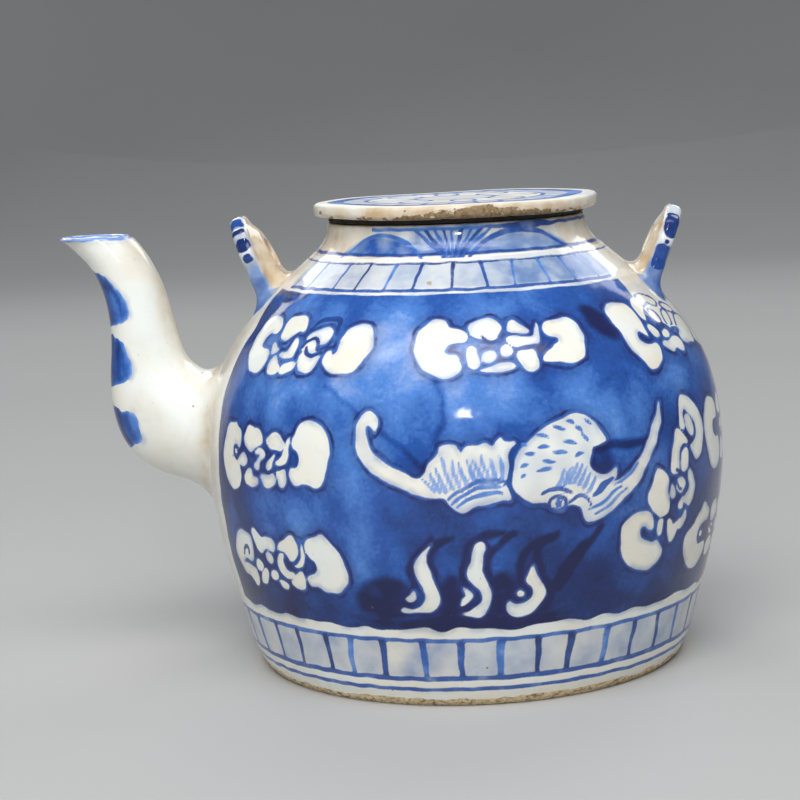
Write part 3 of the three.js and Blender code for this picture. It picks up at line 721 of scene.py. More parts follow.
def wall_stain(canvas, in_foot, open_glaze):
    """Tea and age: beside the spout, under both lugs, at the foot, and faintly all over."""
    points, arc = canvas.points, canvas.arc
    stain = 0.55 * bump(canvas.turn, -72, 5) * between(arc, 30, 50, 108, 120)
    stain += 0.5 * bump(canvas.round, 90, 17) * bump(arc, 132, 10)
    stain += 0.7 * bump(canvas.round, 270, 20) * bump(arc, 132, 11)
    stain += 0.3 * bump(arc, 3.2, 1.6)
    stain += 0.12 * np.clip(ripple(points, 24, 56), 0, 2) + 0.25 * rise(-open_glaze, 0, 3)
    return stain + 0.12 * in_foot


def paint_wall(piece):
    """All that is painted on one half of the wall, from its vertices' own places."""
    points = points_of(piece)
    canvas = Canvas(points)
    for cloud in CLOUDS.values():
        draw_cloud(canvas, *cloud)
    draw_bat(canvas)
    flames = draw_flames(canvas)
    draw_borders(canvas)

    arc, turn = canvas.arc, canvas.turn
    panel, open_glaze = ground_edges(canvas, 0.6 * ripple(points, 12, 41))
    on_cream = np.where(open_glaze < 0, np.abs(canvas.white) - 0.4, FAR)
    canvas.draw(np.where(canvas.white < 3, on_cream, FAR), 0.6)
    ground = np.maximum.reduce([panel, -canvas.white, -open_glaze])
    by_lugs = np.maximum(rise(turn, 59, 62), rise(-turn, 65, 67)) * rise(arc, 129, 129.5)
    canvas.lines += FAR * by_lugs * (1 - rise(arc, 141, 141.2))
    boundary = np.where(turn < -50, -panel, FAR)
    halo = np.where(boundary < canvas.white, np.maximum(boundary, 0.05), canvas.white)

    in_foot = between(arc, 10.6, 11.4, 22.2, 23)
    wash = wall_wash(canvas, in_foot, by_lugs)
    stain = wall_stain(canvas, in_foot, open_glaze)
    kiln_spot = bump(np.radians(canvas.round - SPOT_TURN) * canvas.radius, 0, 0.9)
    outer = rise(wall_distance(points), -1.4, -0.7) * rise(points[:, 2], 4.12, 4.14)
    outer *= 1 - rise(points[:, 2], 128.8, 128.9)
    bare = 20 * (1 - outer)
    paint(piece, ground=ground + bare, halo=halo, lines=canvas.lines + bare,
          depth=canvas.depth, wash=np.clip(wash, 0, 2) * outer, tone=wall_tone(canvas, *flames),
          stain=np.clip(stain, 0, 1) * outer + 0.25 * (1 - outer),
          iron=kiln_spot * bump(arc, SPOT_ARC, 0.9))
    return piece


# ---------------- the pot


def shaped_wall(outline):
    """The turned wall, with the marks of the potter's hands in its outer face."""
    points, faces = turned(outline, WALL_COLUMNS)
    marks = 0.035 * ripple(points * (0.35, 0.35, 1), 9, 11) + 0.05 * ripple(points, 34, 12)
    on_wall = rise(wall_distance(points), -1.2, -0.2)
    push = 1 + on_wall * marks / np.maximum(np.hypot(*points[:, :2].T), 1)
    return points * np.column_stack([push, push, np.ones(len(points))]), faces


def body_lower():
    """The lower half of the wall, with the pot's floor."""
    rows = round((arc_at(SEAM_Z) - arc_at(FOOT_TOP)) / ROW)
    floor_radius = float(wall_radius(FLOOR_TOP)) - WALL
    corner = 6
    outline = [
        (0, FOOT_TOP + 0.8), (18, FOOT_TOP + 0.7), (38, FOOT_TOP + 0.4), (57, FOOT_TOP),
        *wall_rows(FOOT_TOP, SEAM_Z, rows),
        *wall_rows(FLOOR_TOP + corner + 1, SEAM_Z, 8, WALL)[::-1],
        *bend(floor_radius - corner + 1, FLOOR_TOP + corner, corner, -5, -90, 5),
        (44, FLOOR_TOP), (22, FLOOR_TOP - 0.2), (0, FLOOR_TOP - 0.3),
    ]
    piece = make_piece("body_lower_glazed", *shaped_wall(outline), "pot", "body_lower",
                       "cobalt_glaze")
    return paint_wall(piece)


def strainer_rods():
    """Seven rods through the wall behind the spout."""
    hole_radius, ring_radius, middle_z = 2.1, 7.6, 75
    centres = [(0, middle_z)]
    for i in range(6):
        angle = i * math.pi / 3
        centres.append((ring_radius * math.cos(angle), middle_z + ring_radius * math.sin(angle)))
    points, faces = rods(centres, hole_radius, (-90, -68))
    return np.roll(points, 1, axis=1), faces


def body_upper():
    """The upper half of the wall, pierced behind the spout, up to the neck."""
    rows = round((arc_at(SHOULDER_Z) - arc_at(SEAM_Z)) / ROW)
    outline = [
        *wall_rows(SEAM_Z, SHOULDER_Z, rows),
        (NECK_BORE_RADIUS, SHOULDER_Z), (NECK_BORE_RADIUS, SHOULDER_Z - 3),
        *wall_rows(SEAM_Z, SHOULDER_Z - 2, 12, WALL)[-2::-1],
    ]
    piece = make_piece("body_upper_glazed", *shaped_wall(outline), "pot", "body_upper",
                       "cobalt_glaze")
    cut(piece, *strainer_rods())
    return paint_wall(piece)


def foot_ring():
    """The unglazed ring that the pot stands on, with the glaze's edge running round it."""
    inner = WALL_STATIONS[0][1] - 7.5
    points, faces = turned([
        *bend(inner + 1, 1, 1, 180, 270, 3),
        *bend(float(wall_radius(0)) - 1.2, 1.2, 1.2, -90, -20, 4),
        *wall_rows(1.3, FOOT_TOP, 5),
        (inner, FOOT_TOP),
    ], RING_COLUMNS)
    rough = np.maximum(0, 0.12 * ripple(points, 3, 61) + 0.08 * ripple(points, 11, 62))
    low = 1 - rise(points[:, 2], 2.2, 2.8)
    push_out(points, -low * rough, 66)
    points[:, 2] += 0.2 * rough * (points[:, 2] < 0.4)
    piece = make_piece("foot_ring_unglazed", points, faces, "pot", "foot_ring", "burnt_clay")
    points = points_of(piece)
    glaze_edge = points[:, 2] - 2.35 - 0.35 * ripple(points, 13, 63) - 0.2 * ripple(points, 4, 64)
    outside = rise(np.hypot(points[:, 0], points[:, 1]), 62, 64)
    paint(piece, iron=1.5 * (1 - rise(glaze_edge, -0.3, 0.5) * outside), stain=0.1)
    return piece


def neck_collar():
    """The short flared neck, with its rounded rim."""
    flare = NECK_ROOT_RADIUS - NECK_RIM_RADIUS
    up = np.linspace(0, 0.88, 22)[1:]
    points, faces = turned([
        (float(wall_radius(SHOULDER_Z)), SHOULDER_Z),
        *np.column_stack([
            NECK_RIM_RADIUS + flare * (1 - up) ** 2.4, SHOULDER_Z + (NECK_TOP - SHOULDER_Z) * up,
        ]),
        *bend(NECK_RIM_RADIUS - 1.1, NECK_TOP - 1.1, 1.1, 0, 90, 5),
        *bend(NECK_BORE_RADIUS + 0.9, NECK_TOP - 0.9, 0.9, 90, 180, 4),
        (NECK_BORE_RADIUS, 134), (NECK_BORE_RADIUS, SHOULDER_Z),
    ], RING_COLUMNS)
    piece = make_piece("neck_collar_glazed", points, faces, "pot", "neck_collar",
                       "pale_blue_glaze")
    paint_collar(piece)
    return piece


COLLAR_RADIUS = 41  # where distances across its painting are measured
# Two washed hills, and the brush strokes over their tops.
COLLAR_HILLS = ((-21.5, -1.4, 14.5, 8.2), (22, -1.4, 17.5, 8.6))
COLLAR_HILLTOPS = """
    -35.6,-0.6,0.2 -29,4.8,0.4 -21.5,6.7,0.5 -13,4.4,0.5 -8,0,0.3;
    5,0,0.3 11,4.8,0.6 20,7,0.8 30,5.4,0.6 38,0,0.3
"""


def draw_collar(across, height, drift):
    """A fan of strokes, the two hills beside it, and the lines above and below them."""
    drawn = Lines(len(across))
    for k, reach in enumerate(np.linspace(-11, 11.5, 9)):
        ray = [(0.5 + reach * spread, up, half)
               for spread, up, half in ((0.2, -0.4, 0.3), (0.5, 3.4, 0.42), (1, 8, 0.34))]
        drawn.draw(stroke(across + drift, height, ray), 0.5 + 0.22 * (k % 2))
    rim_line = np.abs(height - 8.3 + 0.4 * drift) - 0.42 - 0.7 * bump(across, 25, 7)
    drawn.draw(np.where(across > -26, rim_line, FAR), 0.4 + 0.3 * rise(across, 5, 22))
    drawn.draw(np.abs(height - 1.1 + 0.3 * drift) - 0.36, 0.72)
    for hilltop, depth in zip(paths(COLLAR_HILLTOPS), (0.45, 0.62)):
        drawn.draw(stroke(across + drift, height, hilltop), depth)
    return drawn


def paint_collar(piece):
    points = points_of(piece)
    x, y, z = points.T
    turn = np.degrees(np.arctan2(x, np.abs(y)))
    across = np.radians(turn) * COLLAR_RADIUS
    height = z - SHOULDER_Z
    drift = 0.3 * ripple(points, 6, 71)
    drawn = draw_collar(across, height, drift)
    hills = np.minimum(*(ellipse(across, height, *hill) for hill in COLLAR_HILLS))
    patchy = 1 + 0.2 * ripple(points, 9, 73)
    wash = (1.25 + 0.5 * rise(-across, 0, 12)) * rise(-hills + drift, -0.5, 1.6) * patchy
    fan = between(across, -16, -9, 8, 14) * rise(height, 0.2, 1.4)
    wash = np.maximum(wash, (1.4 - 0.07 * height) * fan * patchy)
    wash = np.maximum(wash, 0.4 * between(across, -30, -20, 30, 40))
    outside = rise(np.hypot(x, y), NECK_RIM_RADIUS - 1.6, NECK_RIM_RADIUS - 0.8)
    ends = 1 - bump(turn, 4, 46)
    stain = 0.75 * ends + 0.15 * ripple(points, 9, 72) + 0.5 * rise(height, 8.6, 9.3)
    paint(piece, lines=drawn.lines + FAR * (1 - outside), depth=drawn.depth,
          wash=wash * outside * rise(height, 0.4, 1.2), stain=np.clip(stain, 0, 1),
          iron=0.5 * rise(height, 9, 9.45))


# ---------------- the spout

# Sections from the root to the lip: the outer ridge (x, z), the inner ridge (x, z), and half
# the width between the sides.
SPOUT_SECTIONS = (
    (-90.0, 58.0, -83.8, 93.6, 16.2),
    (-97.0, 60.4, -85.3, 94.7, 15.8),
    (-102.9, 63.9, -86.6, 96.0, 15.2),
    (-107.6, 69.0, -87.6, 97.6, 14.4),
    (-110.6, 75.3, -88.3, 99.3, 13.4),
    (-112.1, 82.8, -88.9, 101.5, 12.5),
    (-112.2, 91.5, -89.7, 104.7, 11.7),
    (-111.4, 100.5, -90.6, 108.6, 11.0),
    (-111.3, 109.1, -92.0, 114.5, 10.4),
    (-112.8, 118.3, -94.3, 121.8, 9.9),
    (-116.2, 126.3, -97.6, 128.9, 9.5),
    (-120.6, 131.5, -100.6, 133.4, 9.2),
    (-125.9, 136.6, -103.3, 136.6, 9.0),
)
# The blue patches on each side of the outer ridge: how far in from the ridge, and the height.
SPOUT_PATCHES = """
    -4,125 2,125.2 5.4,123.8 7.4,120.4 8.6,116.4 8.8,112.4 6.6,109.9 2.6,108.8 -4,108.2; -4,104.9 2.6,104.7
    5.4,102.8 7.9,99 9,94 7.2,91.3 3,89.7 -4,89; -4,82.8 2.4,82.8 3.8,81.3 6.6,82 8.9,80.8 9.8,77.6 9.5,74.2
    7.6,72 4,70.5 -5,67.5
"""
SPOUT_COLUMNS = 144
SPOUT_TURN = np.arange(SPOUT_COLUMNS) * 2 * math.pi / SPOUT_COLUMNS
SPOUT_WALL_ROOT = 3.4
SPOUT_WALL_LIP = 2.1
SPREAD = 5.2  # how far the foot of the spout runs out over the wall
BURIED = 0.12  # how deep its edge lies in the wall's face


def spout_ring(section, thinner=0.0, lift=0.0):
    """One ring of the spout, counted round from the outer ridge towards the back."""
    outer, inner = np.array(section[:2]), np.array(section[2:4])
    middle, half = (outer + inner) / 2, (outer - inner) / 2
    half = half * (1 - thinner / np.linalg.norm(half))
    plane = middle + np.outer(np.cos(SPOUT_TURN), half)
    return np.column_stack([
        plane[:, 0], (section[4] - thinner) * np.sin(SPOUT_TURN), plane[:, 1] + lift,
    ])


def to_wall(start, direction, inset):
    """Where straight lines from outside meet the wall, set in from its face."""
    near, far = np.zeros(len(start)), np.full(len(start), 30.0)
    for _ in range(30):
        middle = (near + far) / 2
        outside = wall_distance(start + middle[:, None] * direction) > -inset
        near = np.where(outside, middle, near)
        far = np.where(outside, far, middle)
    return near


def spout_foot(first, into):
    """The foot: each line up the spout bends out over the wall in one smooth turn."""
    reach = to_wall(first, into, 0)[:, None] * into
    landing = first + reach
    up = np.cos(SPOUT_TURN)
    y = landing[:, 1] + SPREAD * np.sin(SPOUT_TURN)
    z = landing[:, 2] - SPREAD * up * np.where(up < 0, 1.6, 1)
    edge = np.column_stack([-np.sqrt((wall_radius(z) - BURIED) ** 2 - y**2), y, z])
    turn_point = first + 0.66 * reach
    return [
        (1 - t) ** 2 * edge + 2 * t * (1 - t) * turn_point + t * t * first
        for t in np.linspace(0, 1, 18, endpoint=False)
    ]


def spout():
    """One hollow tube from the foot on the wall to the lip, and back down its inside."""
    sections = curve_through(SPOUT_SECTIONS, 9)
    wall = np.linspace(SPOUT_WALL_ROOT, SPOUT_WALL_LIP, len(sections))
    outside = [spout_ring(section) for section in sections]
    inside = [spout_ring(section, thinner) for section, thinner in zip(sections, wall)]
    into = outside[0] - outside[2]
    into /= np.linalg.norm(into, axis=1)[:, None]
    foot = spout_foot(outside[0], into)

    # The lip: the wall's top is rounded over between its two faces.
    half_wall = SPOUT_WALL_LIP / 2
    lip = [
        spout_ring(sections[-1], half_wall * (1 - math.cos(a)), half_wall * (math.sin(a) - 1))
        for a in np.radians(np.linspace(15, 165, 7))
    ]
    for ring in outside[-9:] + inside[-9:]:
        ring[:, 2] = np.minimum(ring[:, 2], LIP_Z - half_wall)
    mouth = inside[0] + to_wall(inside[0], into, BURIED)[:, None] * into

    rings = foot + outside[:-1] + lip + inside[-2::-3] + [mouth]
    faces = [face[::-1] for face in ring_faces(len(rings), SPOUT_COLUMNS, closed_rows=True)]
    piece = make_piece("spout_glazed", np.vstack(rings), faces, "pot", "spout", "white_glaze",
                       crease=60)
    paint_spout(piece, len(foot), len(outside))
    return piece


def paint_spout(piece, foot_rings, outside_rings):
    """Three half-moon patches down the outer ridge, a pale blue lip and tea-brown stains."""
    points = points_of(piece)
    row, column = np.divmod(np.arange(len(points)), SPOUT_COLUMNS)
    side = np.minimum(SPOUT_TURN, 2 * math.pi - SPOUT_TURN)[column]
    z = points[:, 2]
    outer = row < foot_rings + outside_rings - 1
    drift = 0.5 * ripple(points, 8, 81) + 0.25 * ripple(points, 3, 82)
    ridge = np.interp(z, *np.transpose([(row[1], row[0]) for row in SPOUT_SECTIONS]))
    reach = points[:, 0] - ridge + drift * 0.6
    patches = np.minimum.reduce([
        outline_shape(reach, z + 0.5 * drift, outline) for outline in paths(SPOUT_PATCHES)
    ])
    patches = np.where(outer, np.minimum(patches, FAR), FAR)
    lip_line = np.abs(z - LIP_Z + 0.5 + 0.5 * drift) - 0.42
    lip_line = np.where(row < foot_rings + outside_rings + 6, lip_line, FAR)
    stain = 0.45 * rise(side, 2.0, 2.9) * between(z, 88, 110, 128, 136)
    stain += 0.75 * (row < foot_rings) * bump(row, 4, 6) * (0.8 + 0.4 * ripple(points, 14, 85))
    stain += 0.16 * np.clip(ripple(points, 15, 83), 0, 2)
    streaks = ripple(np.column_stack([reach, reach * 0, z * 0.12]), 2.6, 84)
    tone = 0.34 + 0.3 * rise(reach, 0.5, 8) + 0.12 * streaks + 0.3 * bump(patches, 0, 0.9)
    tone -= 0.4 * bump(reach, 3.4, 1.5) * bump(z, 121, 1.8)
    paint(piece, ground=patches, tone=tone, lines=lip_line, depth=0.12,
          wash=0.3 * rise(z, LIP_Z - 3.4, LIP_Z - 0.6) * outer, stain=np.clip(stain, 0, 1))


# ---------------- the lugs

LUG_HALF_WIDTH = 12.5
LUG_HALF_THICKNESS = 2.6
LUG_SHAPES = {1: (23.7, 2.2), -1: (25.4, 3.6)}  # each tab's height, and its face's swell
LUG_ROOT = np.array([59.9, 0, 117.3])
LUG_LEAN = math.radians(21)
LUG_LOBE = 8.2  # from one shallow lobe of the rim to the next
LUG_HOLE_RADIUS = 4.0
LUG_HOLE_Z = 129.0
LUG_CELL = 0.55
LUG_LOW, LUG_HIGH = np.array([38.0, -21, 96]), np.array([78.0, 21, 145])  # the space it is in
# Brushed blobs down the lugs' rims: (middle along the rim, half length, half width, tone).
LUG_DASHES = {
    1: [(7.4, 5, 2.3, 0.28), (19.6, 2.4, 1.6, 0.5), (-3.8, 4, 2.1, 0.4), (1, 0.7, 0.8, 0.2)],
    -1: [(13, 2.4, 2.4, 0.4), (18.8, 1.8, 2, 0.62), (8.6, 1.1, 2.5, 0.12), (3.8, 2.3, 2.3, 0.14),
         (-0.8, 1.5, 1.6, 0.3)],
}
UNIT = np.eye(3, dtype=int)


def lug_frame(points):
    """(outwards, across, up) of points from the lug's root, turned with the lug's lean."""
    from_root = points - LUG_ROOT
    up = from_root[:, 0] * math.sin(LUG_LEAN) + from_root[:, 2] * math.cos(LUG_LEAN)
    out = from_root[:, 0] * math.cos(LUG_LEAN) - from_root[:, 2] * math.sin(LUG_LEAN)
    return out, from_root[:, 1], up


def lug_edge(across, up, height):
    """Distance from the lug's round-topped outline, negative inside, and how far along it."""
    shoulder = height - LUG_HALF_WIDTH
    above = np.maximum(up - shoulder, 0)
    angle = np.arctan2(above, np.abs(across))
    along = np.where(above > 0, angle * LUG_HALF_WIDTH, up - shoulder)
    return np.hypot(across, above) - (LUG_HALF_WIDTH - 0.5), along


def lug_distance(points, height, swelling):
    """Signed distance of the lug alone: a tab with a swollen face towards the lid."""
    out, across, up = lug_frame(points)
    edge, along = lug_edge(across, up, height)
    swell = swelling * rise(-edge, 1.2, 7.5) * (0.65 + 0.35 * rise(up, 22, 6))
    edge = edge - 0.4 * np.cos(2 * math.pi * along / LUG_LOBE)
    face = np.maximum(out - LUG_HALF_THICKNESS, -out - LUG_HALF_THICKNESS - swell)
    round_over = 2.0
    solid = np.hypot(np.maximum(edge + round_over, 0), np.maximum(face + round_over, 0))
    solid += np.minimum(np.maximum(edge + round_over, face + round_over), 0) - round_over
    hole = LUG_HOLE_RADIUS - np.hypot(points[:, 1], points[:, 2] - LUG_HOLE_Z)
    return -run_together(-solid, -hole, 1.2)


def lug_solid(points, shape):
    """The lug run into the shoulder, with a thin skirt buried just under the wall's face."""
    lug = lug_distance(points, *shape)
    wall = wall_distance(points)
    joined = run_together(lug, wall + 0.06, 5.5)
    return np.maximum.reduce([joined, -(wall + 0.9), lug - 7.5])


def where_crossed(field, axis):
    """For each grid cell: the sum of the places where its edges along an axis cross zero."""
    cells = np.array(field.shape) - 1
    corner = np.stack(np.meshgrid(*(np.arange(n) for n in cells), indexing="ij"), axis=-1)
    total, hits = np.zeros((*cells, 3)), np.zeros(cells)
    for sides in ((0, 0), (0, 1), (1, 0), (1, 1)):
        start = np.insert(sides, axis, 0)
        a, b = (field[tuple(slice(s, s + n) for s, n in zip(end, cells))]
                for end in (start, start + UNIT[axis]))
        crosses = (a < 0) != (b < 0)
        t = np.where(crosses, a / np.where(crosses, a - b, 1), 0)
        point = corner + start + t[..., None] * UNIT[axis]
        total += np.where(crosses[..., None], point, 0)
        hits += crosses
    return total, hits


def surface_net(field, origin, cell):
    """A quad mesh where a grid of signed distances crosses zero."""
    total, hits = (sum(parts) for parts in zip(*(where_crossed(field, a) for a in range(3))))
    used = hits > 0
    index = np.full(hits.shape, -1)
    index[used] = np.arange(used.sum())
    points = origin + cell * total[used] / hits[used][:, None]
    inside = field < 0
    faces = []
    for axis in range(3):
        low, high = (
            tuple(slice(first, n - 1 + first) if a == axis else slice(1, n - 1)
                  for a, n in enumerate(field.shape))
            for first in (0, 1)
        )
        where = np.argwhere(inside[low] != inside[high])
        leaving = inside[low][tuple(where.T)]
        base = where + 1 - UNIT[axis]
        step_b, step_c = UNIT[(axis + 1) % 3], UNIT[(axis + 2) % 3]
        quad = np.stack([
            index[tuple((base - back).T)] for back in (step_b + step_c, step_c, 0 * step_b, step_b)
        ], axis=1)
        quad[~leaving] = quad[~leaving][:, ::-1]
        faces += quad.tolist()
    return points, faces


def settle(points, shape):
    """Moves points onto the lug's surface, where its distance is zero."""
    step = 0.05
    here = lug_solid(points, shape)
    slope = np.stack([
        (lug_solid(points + step * way, shape) - here) / step for way in UNIT
    ], axis=1)
    size = np.maximum((slope**2).sum(axis=1), 0.25)
    move = np.clip(here / size, -0.3, 0.3)
    return points - move[:, None] * slope


def lug(name, node, direction):
    """One lug: direction is 1 for the one away from the spout and -1 for the one above it."""
    counts = np.ceil((LUG_HIGH - LUG_LOW) / LUG_CELL).astype(int) + 1
    axes = [low + LUG_CELL * np.arange(count) for low, count in zip(LUG_LOW, counts)]
    grid = np.stack(np.meshgrid(*axes, indexing="ij"), axis=-1).reshape(-1, 3)
    shape = LUG_SHAPES[direction]
    points, faces = surface_net(lug_solid(grid, shape).reshape(counts), LUG_LOW, LUG_CELL)
    for _ in range(2):
        points = settle(points, shape)
    painted = lug_paint(points, direction)
    if direction < 0:
        points = points * (-1, 1, 1)
        faces = [face[::-1] for face in faces]
    piece = make_piece(name, points, faces, "pot", node, "pale_blue_glaze", crease=70)
    paint(piece, **painted)
    return piece


def lug_dashes(direction, along, aside, drift):
    """The nearest of the blobs brushed down the rim, and its tone."""
    dash = np.full(len(along), FAR)
    shade = np.full(len(along), np.nan)
    for middle, half_length, half_width, tone in LUG_DASHES[direction]:
        corner = 0.75 * min(half_length, half_width)
        beyond = np.maximum(np.abs(along - middle + 0.5 * drift) - half_length + corner, 0)
        blob = np.hypot(beyond, np.maximum(aside - half_width + corner, 0)) - corner
        shade = np.where(blob < dash, tone, shade)
        dash = np.minimum(dash, blob)
    return dash, shade


def lug_paint(points, direction):
    """Dashes down the rim, a wash and a painted shadow at the foot, and a bare, stained face towards the
    lid.
    """
    out, across, up = lug_frame(points)
    edge, along = lug_edge(across, up, LUG_SHAPES[direction][0])
    drift = 0.3 * ripple(points, 5, 91 + direction) + 0.15 * ripple(points, 2.4, 92)
    dash, shade = lug_dashes(direction, along, np.abs(out + drift - 0.3), drift)
    tone = np.where(np.isnan(shade), 0.45 + 0.12 * ripple(points, 4, 94), shade)
    dash = np.where(edge > -2.6, dash, FAR)
    towards_lid = rise(-out, 1.4, 2.6) * rise(-edge, -0.4, 0.6)
    rim = rise(edge, -3.2, -1.8) * (1 - towards_lid)
    down_rim = rim * (1 - rise(up + drift, 9, 14))
    foot = (1 - rise(up + 0.8 * drift, 4, 8)) * rise(out + 0.3 * np.abs(across), -0.5, 2.6)
    pool = bump(wall_distance(points), 1.2, 3) * rise(out, 1.5, 4.5)
    by_lug = 1 - rise(lug_distance(points, *LUG_SHAPES[direction]) + drift, 2.2, 4.6)
    wash = np.maximum.reduce([0.42 * rim, 1.15 * down_rim, 1.8 * foot]) + 0.7 * pool
    low = 1 - rise(up, 2.5, 7)
    stain = 0.9 * towards_lid + 0.75 * low * rise(-out, -0.5, 3) + 0.1 * ripple(points, 6, 93)
    # Painted shadow: blue-black round the lug's outer foot, where it meets the shoulder.
    behind = np.maximum(ellipse(across, up, 0, 0.6, 14.6, 4), 3.4 - out) + 0.9 * drift
    return {
        "ground": np.minimum(dash, behind), "tone": np.where(behind < dash, 0.12, tone),
        "wash": np.clip(wash * by_lug, 0, 2), "stain": np.clip(stain, 0, 1),
    }


# ---------------- the lid

VENT_AT = (20.0, 0)
VENT_RADIUS = 1.5
FRONT_EDGE_TURN = 6  # the front of the edge, darker and browner than the rest


def lid_waver(points):
    """The lid sagged a little in the kiln, so its rim isn't quite flat or round."""
    turn = np.arctan2(points[:, 1], points[:, 0])
    reach = rise(np.hypot(points[:, 0], points[:, 1]), 20, 44)
    return reach * (0.22 * np.sin(2 * turn + 0.7) + 0.12 * np.sin(5 * turn + 2))


def lid_plate():
    """The flat lid, a little warped and chipped, with its air hole."""
    top = LID_TOP - 0.35
    bottom = LID_BOTTOM
    droop = 0.75
    edge = 1.6
    r = LID_RADIUS - 0.25
    points, faces = turned([
        (0, bottom), (20, bottom), (39.6, bottom), (40.6, bottom - 0.2), (41.4, bottom - 0.6),
        *bend(r - edge, bottom - droop + edge, edge, -80, 0, 7),
        *bend(r - edge, top - edge, edge, 0, 84, 7),
        *((radius, top - 0.15 * rise(radius, 44, 36)) for radius in np.arange(41.5, 1, -0.8)),
        (0, top - 0.15),
    ], LID_COLUMNS)
    points[:, 2] += lid_waver(points)
    side = rise(np.hypot(points[:, 0], points[:, 1]), 40, 43)
    chips = side * np.maximum(0, ripple(points, 5, 101) - 1.1) * 0.5
    points[:, 2] += chips * (points[:, 2] < LID_BOTTOM + 1.6)
    piece = make_piece("lid_plate_glazed", points, faces, "lid", "lid_plate", "white_glaze")
    cut(piece, *rods([VENT_AT], VENT_RADIUS, (LID_BOTTOM - 2, LID_TOP + 2)))
    paint_lid(piece)
    return piece


def draw_lid(points, radius, turn, drift):
    """Rings, a border of slanting strokes, and eight petals round the middle."""
    x, y, _ = points.T
    drawn = Lines(len(points))
    drawn.draw(np.abs(radius - 37.4 + 0.4 * drift) - 2.3, 0.5 + 0.22 * ripple(points, 18, 113))
    drawn.draw(np.abs(radius - 27.6 + 0.3 * drift) - 0.6, 0.5)
    drawn.draw(np.abs(radius - 12.4 + 0.3 * drift) - 0.6, 0.45)
    step = 360 / 26
    off = ((turn + step / 2) % step - step / 2) * math.pi / 180 * radius + drift
    off += (radius - 32) * 0.25
    drawn.draw(np.maximum(np.abs(off) - 0.6, np.abs(radius - 31.6) - 4), 0.4)
    for k in range(8):
        a = math.radians(k * 45 + 10)
        u = x * math.sin(a) - y * math.cos(a)
        v = x * math.cos(a) + y * math.sin(a)
        drawn.draw(np.abs(ellipse(u, v, 19.6, 0, 6.2, 3.6)) - 0.5, 0.6)
    return drawn


def lid_iron(points, level, radius, turn):
    """How bare the clay is at the lower edge, in a chip and underneath, and what is underneath."""
    burnt = 1.3 * bump(turn, FRONT_EDGE_TURN, 50) + 0.25 * ripple(points, 9, 115)
    burnt += 0.3 * ripple(points, 2.6, 116)
    strip = LID_BOTTOM - 0.1 + 2.3 * bump(turn, 12, 26) + 0.3 * ripple(points, 5, 117)
    low_edge = (1 - rise(level, strip, strip + 0.9)) * rise(burnt, 0.3, 0.8)
    under = 1 - rise(level, LID_BOTTOM + 0.5, LID_BOTTOM + 1.4)
    chip = bump(turn, -66, 3.0) * bump(points[:, 2], LID_BOTTOM + 1.4, 0.8)
    iron = np.maximum.reduce([
        0.72 * (low_edge * rise(radius, 41.5, 42.6)),
        1.2 * under * (1 - rise(radius, 38.5, 40)),
        chip * rise(radius, 42, 43),
    ])
    return iron, under


def paint_lid(piece):
    points = points_of(piece)
    x, y, z = points.T
    radius = np.hypot(x, y)
    turn = np.degrees(np.arctan2(x, -y))
    level = z - lid_waver(points)
    drift = 0.5 * ripple(points, 9, 111) + 0.2 * ripple(points, 3, 112)
    drawn = draw_lid(points, radius, turn, drift)
    on_top = rise(level, LID_TOP - 1.6, LID_TOP - 1.0)
    wash = 0.42 * between(radius, 27, 28.5, 35, 36) + 0.3 * (1 - rise(radius, 11, 12))
    wash += 0.35 * bump(turn, 82, 22) * rise(radius, 39, 43)
    iron, under = lid_iron(points, level, radius, turn)
    # Beige over the lid, strongest round the edge towards the front and faint on the top.
    stain = 0.22 + 0.9 * bump(turn, FRONT_EDGE_TURN, 50) + 0.16 * ripple(points, 12, 114)
    stain *= 1 - 0.8 * rise(level, LID_TOP - 0.9, LID_TOP - 0.4)
    paint(piece, lines=drawn.lines + FAR * (1 - on_top), depth=np.clip(drawn.depth, 0, 1),
          wash=np.clip(wash * on_top, 0, 1), stain=np.clip(stain + 0.4 * under, 0, 1),
          iron=np.maximum(iron, 0.2 * on_top))


def lid_seat_ring():
    """The rough ring that the lid rests on, near-black: tea-darkened clay with the shade of the gap under
    the lid painted in.
    """
    low, high = NECK_TOP + 0.28, LID_BOTTOM - 0.02
    points, faces = turned([
        (34.9, low), (37, low),
        *bend(39.1, low + 0.6, 0.6, -90, 0, 4), *bend(39.1, high - 0.5, 0.5, 0, 90, 4),
        (37, high), (34.9, high),
    ], SEAT_COLUMNS)
    push_out(points, 0.16 * ripple(points, 3, 121), 39)
    return make_piece("lid_seat_ring_clay", points, faces, "lid", "lid_seat_ring", "dark_clay")


def lid_flange():
    """The unglazed skirt under the lid that keeps it centred in the neck."""
    low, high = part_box("lid_flange")
    outer = (high.x - low.x) / 2 / MM
    inner = outer - 3.4
    bottom = low.z / MM
    points, faces = turned([
        *bend(inner + 1.2, bottom + 1.2, 1.2, 180, 270, 4),
        *bend(outer - 1.4, bottom + 1.4, 1.4, -90, 0, 4),
        *((outer, z) for z in (131, 133, 135, 137, 139, LID_BOTTOM - 0.02)),
        *((inner, z) for z in (LID_BOTTOM - 0.02, 139, 136, 133)),
    ], FLANGE_COLUMNS)
    push_out(points, 0.1 * ripple(points, 4, 131) - 0.08, 34)
    return make_piece("lid_flange_clay", points, faces, "lid", "lid_flange", "burnt_clay")


# ---------------- materials


